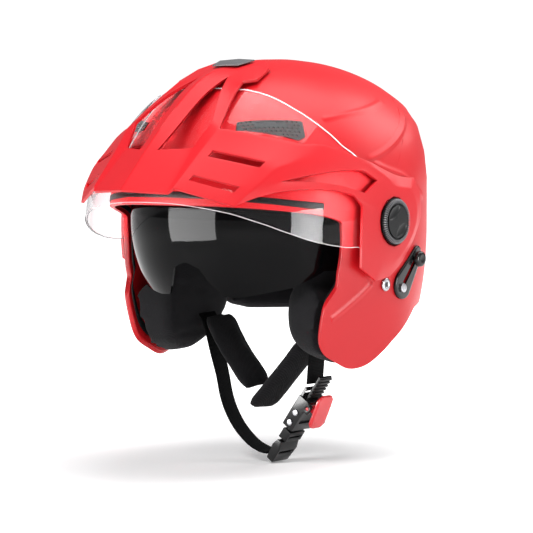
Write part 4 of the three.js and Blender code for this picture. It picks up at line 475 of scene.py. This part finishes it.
def cheekseam(P, N):
    x, y, z = np.abs(P[:, 0]), P[:, 1], P[:, 2]; inner = np.clip(-N[:, 0] * np.sign(P[:, 0]), 0, 1)
    return groove(z + 62 + .18 * y, 2.2, 1.6) * inner + groove(z + 92 - .1 * y, 2.2, 1.2) * inner
def linerseam(P, N):
    r = np.clip(-(N * unit(P - C0)).sum(1), 0, 1); x, y = P[:, 0], P[:, 1]
    return (groove(np.abs(x) - 27 + .0012 * (y - 10) ** 2, 2.4, 2.0) + groove(np.abs(x) - 52 + .0006 * (y - 10) ** 2, 2.2, 1.3) + groove((y - 8) + .12 * np.abs(x), 2.2, 1.0) * (np.abs(x) > 29)) * r
def rollseam(P, N): return groove(P[:, 2] + 71, 1.8, 1.3) * np.clip(1 - np.abs(N[:, 2]), 0, 1)
soft("left_cheek_pad", "left_cheek_pad_v", FAB, .0036, .0016, seams=cheekseam)
soft("right_cheek_pad", "right_cheek_pad_v", FAB, .0036, .0016, seams=cheekseam)
soft("neck_roll", "neck_roll_v", FAB, .0034, .0012, seams=rollseam)
soft("comfort_liner", "comfort_liner_v", FAB2, .0032, .001, seams=linerseam, sim=False)
soft("left_strap_pad", "left_strap_pad_v", FAB, .0022, .0016)
soft("right_strap_pad", "right_strap_pad_v", FAB, .0022, .0016)
NODES["impact_liner"].data.materials.clear(); NODES["impact_liner"].data.materials.append(EPS)

# ---------------------------------------------------------------- webbing
axx = rx - 10.4
wl = [(axx - 2.2, -2.6, -62.3), (103, -3.2, -67), (93, -4.2, -73.5), (80, -5, -80), (66, -6, -85), (58.5, -7, -91), (56.2, -7.6, -101), (55.6, -8, -112), (54.6, -8, -124), (54, -8, -130.5)]
wr = [(-(axx - 2.2), -2.2, -62.3), (-103, -2.6, -65), (-93, -3.2, -68.5), (-80, -4, -72), (-66, -5, -76), (-57.5, -6, -82), (-51.5, -7, -95), (-46, -8, -112), (-40.5, -8, -130), (-36.6, -8, -146), (-31, -8, -159), (-22, -8, -171.5), (-9, -8, -182.5), (4, -8, -188), (13, -8, -189)]
def web(name, P, tw, rep):
    n = 14; Q = crom(P, n); idx = np.arange(len(Q)) / n; t = np.interp(idx, tw[0], tw[1]) * RAD; T = unit(np.gradient(Q, axis=0))
    w = np.stack([-np.sin(t), np.cos(t), 0 * t], -1); w = unit(w - T * (w * T).sum(1, keepdims=True)); nn = np.cross(T, w); sec = []
    for a, b in ((-1, -.3), (-.97, -.75), (-.9, -1), (-.8, -.86), (-.7, -1), (0, -1), (.7, -1), (.8, -.86), (.9, -1), (.97, -.75), (1, -.3), (1, .3), (.97, .75), (.9, 1), (.8, .86), (.7, 1), (0, 1), (-.7, 1), (-.8, .86), (-.9, 1), (-.97, .75), (-1, .3)):
        sec.append(Q + w * a * 10.5 + nn * b * .9)
    return new(name, *tube(np.stack(sec, 1)), "helmet", WEB, "strap_webbing", 40, rep)
web("left_webbing_v", wl, ([0, 9], [0, 0]), "left_webbing")
web("right_webbing_v", wr, ([0, 5, 8, 12, 14], [0, 0, 10, 11, 2]), "right_webbing")

# ---------------------------------------------------------------- buckle
clone("buckle_receiver", "helmet", GLS, .7, 3)
clone("ratchet_tongue", "tongue", BLK, .22, 2)
clone("strap_adjuster", "tongue", GLS, 1.2, 4)
B0 = np.array([46, -8, -152.]); D = unit([-.578, 0, -.816]); T2 = unit([.816, 0, -.578])
def bp(d, wv, t): return B0 + D * d + np.array([0, wv, 0]) + T2 * t
TP = np.array([[-21.4, 8.7], [-21.9, 9.8], [-21.2, 10.9], [-14, 12.6], [-4, 14.6], [4.8, 16.3], [6.6, 15.9], [7.3, 14.7], [6.6, 13.7], [-3, 11.9], [-13, 9.9], [-20.2, 8.3]])
def tabsec(wv):
    e = 9.6 - abs(wv); r = 6.2; cut_ = r - math.sqrt(max(0, r * r - (r - e) ** 2)) if e < r else 0.; k = (14.6 - cut_) / 14.6
    th_ = 1 - .5 * max(0, 1 - e / 1.1) ** 2; P = []
    for d, t in TP:
        mid = 11.7 + .209 * (d + 7.3); dn = -7.3 + (d + 7.3) * k; P.append(bp(dn, wv, 11.7 + .209 * (dn + 7.3) + (t - mid) * th_))
    return P
ws_ = [-9.6, -9.45, -9.1, -8.5, -7.6, -6.5, -5.2, -4, -2, 0, 2, 4, 5.2, 6.5, 7.6, 8.5, 9.1, 9.45, 9.6]
tabv = raw("release_tab_v", tube([tabsec(q) for q in ws_]))
boole(tabv, [raw("c", prism(bp(-7.35, 0, 8.65), D, [0, 1, 0], T2, 1.75, 9.1, 2.95))], "UNION")
boole(tabv, [raw("c", lathe(bp(-7.4, -12.9, 7), [0, 1, 0], [(0, 0), (0, 1.15), (.2, 1.35), (25.6, 1.35), (25.8, 1.15), (25.8, 0)], 40))], "UNION")
tabv.data.materials.append(TAB); shade(tabv, 34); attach(tabv, "tab"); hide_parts("release_tab")
for nm, d in (("upper", 2), ("lower", 12)):
    new("buckle_screw_%s_v" % nm, *lathe(B0 + D * d + np.array([0, -13.2, 0]), [0, -1, 0], [(0, 0), (0, 2.3), (.2, 2.5), (.6, 2.5), (.85, 2.3), (1.0, 1.8), (1.0, 1.2), (.55, 1.0), (.55, 0)], 48), "helmet", STL, "steel", 36, "buckle_screw_" + nm)

# ---------------------------------------------------------------- floor, light, camera
floor_z = float(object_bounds()[0][2]) - .0012
fl = new("floor", np.array([[-30, -30, floor_z], [30, -30, floor_z], [30, 30, floor_z], [-30, 30, floor_z]]) * 1000, [[0, 1, 2, 3]], None, None, smooth=False)
# plain white backdrop behind the floor's far edge is the world itself
fm = material("floor_white", (.9, .9, .9), .6, var=.01, vscale=2); fb = fm.node_tree.nodes["Principled BSDF"]; fb.inputs["Emission Color"].default_value = (1, 1, 1, 1); 
tcf = fm.node_tree.nodes.new("ShaderNodeTexCoord"); vl = fm.node_tree.nodes.new("ShaderNodeVectorMath"); vl.operation = "LENGTH"; mf = fm.node_tree.nodes.new("ShaderNodeMapRange"); mf.interpolation_type = "SMOOTHSTEP"
for k_, v_ in (("From Min", .12), ("From Max", 1.1), ("To Min", .16), ("To Max", 1.05)): mf.inputs[k_].default_value = v_
fm.node_tree.links.new(tcf.outputs["Object"], vl.inputs[0]); fm.node_tree.links.new(vl.outputs["Value"], mf.inputs["Value"]); fm.node_tree.links.new(mf.outputs["Result"], fb.inputs["Emission Strength"])
fb.inputs["Specular IOR Level"].default_value = .05; fl.data.materials.append(fm)
w = bpy.data.worlds.new("studio"); bpy.context.scene.world = w; w.use_nodes = True; wn, wk = w.node_tree.nodes, w.node_tree.links
bg = wn["Background"]; bg.inputs[0].default_value = (.96, .97, 1, 1); bg.inputs[1].default_value = .26; b2 = wn.new("ShaderNodeBackground"); b2.inputs[0].default_value = (1, 1, 1, 1); b2.inputs[1].default_value = 1.05
lp = wn.new("ShaderNodeLightPath"); mxm = wn.new("ShaderNodeMath"); mxm.operation = "MAXIMUM"; ms = wn.new("ShaderNodeMixShader")
wk.new(lp.outputs["Is Camera Ray"], mxm.inputs[0]); wk.new(lp.outputs["Is Transmission Ray"], mxm.inputs[1]); wk.new(mxm.outputs[0], ms.inputs[0]); wk.new(bg.outputs[0], ms.inputs[1]); wk.new(b2.outputs[0], ms.inputs[2]); wk.new(ms.outputs[0], wn["World Output"].inputs[0])
bpy.context.scene.view_settings.view_transform = "Standard"
a, e = 38 * RAD, 3.4 * RAD
back = np.array([math.sin(a) * math.cos(e), -math.cos(a) * math.cos(e), math.sin(e)]); rt = np.array([math.cos(a), math.sin(a), 0]); up = np.cross(back, rt)
T = (rt * -.8 + up * -39.6) * .001
def area(name, loc, tgt, size, power, sy=None):
    l = bpy.data.lights.new(name, "AREA"); l.energy = power; l.size = size; l.shape = "RECTANGLE"; l.size_y = sy or size
    o = bpy.data.objects.new(name, l); o.location = loc; o.rotation_euler = (Vector(tgt) - Vector(loc)).to_track_quat("-Z", "Y").to_euler(); bpy.context.scene.collection.objects.link(o)
fr = lambda r_, u_, b_: tuple(T + rt * r_ + up * u_ + back * b_)
area("key", fr(-.55, 1.0, 1.15), fr(0, 0, 0), .7, 18)
area("top", fr(.25, 1.5, .1), fr(0, 0, 0), 1.2, 23)
area("rim", fr(.95, .8, -.35), fr(0, .05, 0), .8, 10)
for nm_, c_, wd_ in (("softbox_left", (-.53, .0, .27), .34), ("softbox_right", (.5, .0, .42), .26)):
    area(nm_, fr(*c_), fr(0, 0, 0), wd_, 26 * math.pi * wd_ * .26, .26); bpy.data.objects[nm_].visible_diffuse = False
cam = bpy.data.cameras.new("camera"); cam.lens = 2216.7 / 533 * 36; cam.sensor_width = 36; cam.clip_end = 100
co = bpy.data.objects.new("camera", cam); bpy.context.scene.collection.objects.link(co)
co.matrix_world = Matrix(((rt[0], up[0], back[0], 0), (rt[1], up[1], back[1], 0), (rt[2], up[2], back[2], 0), (0, 0, 0, 1))); co.location = Vector(T + back * 1.8)
bpy.context.scene.camera = co
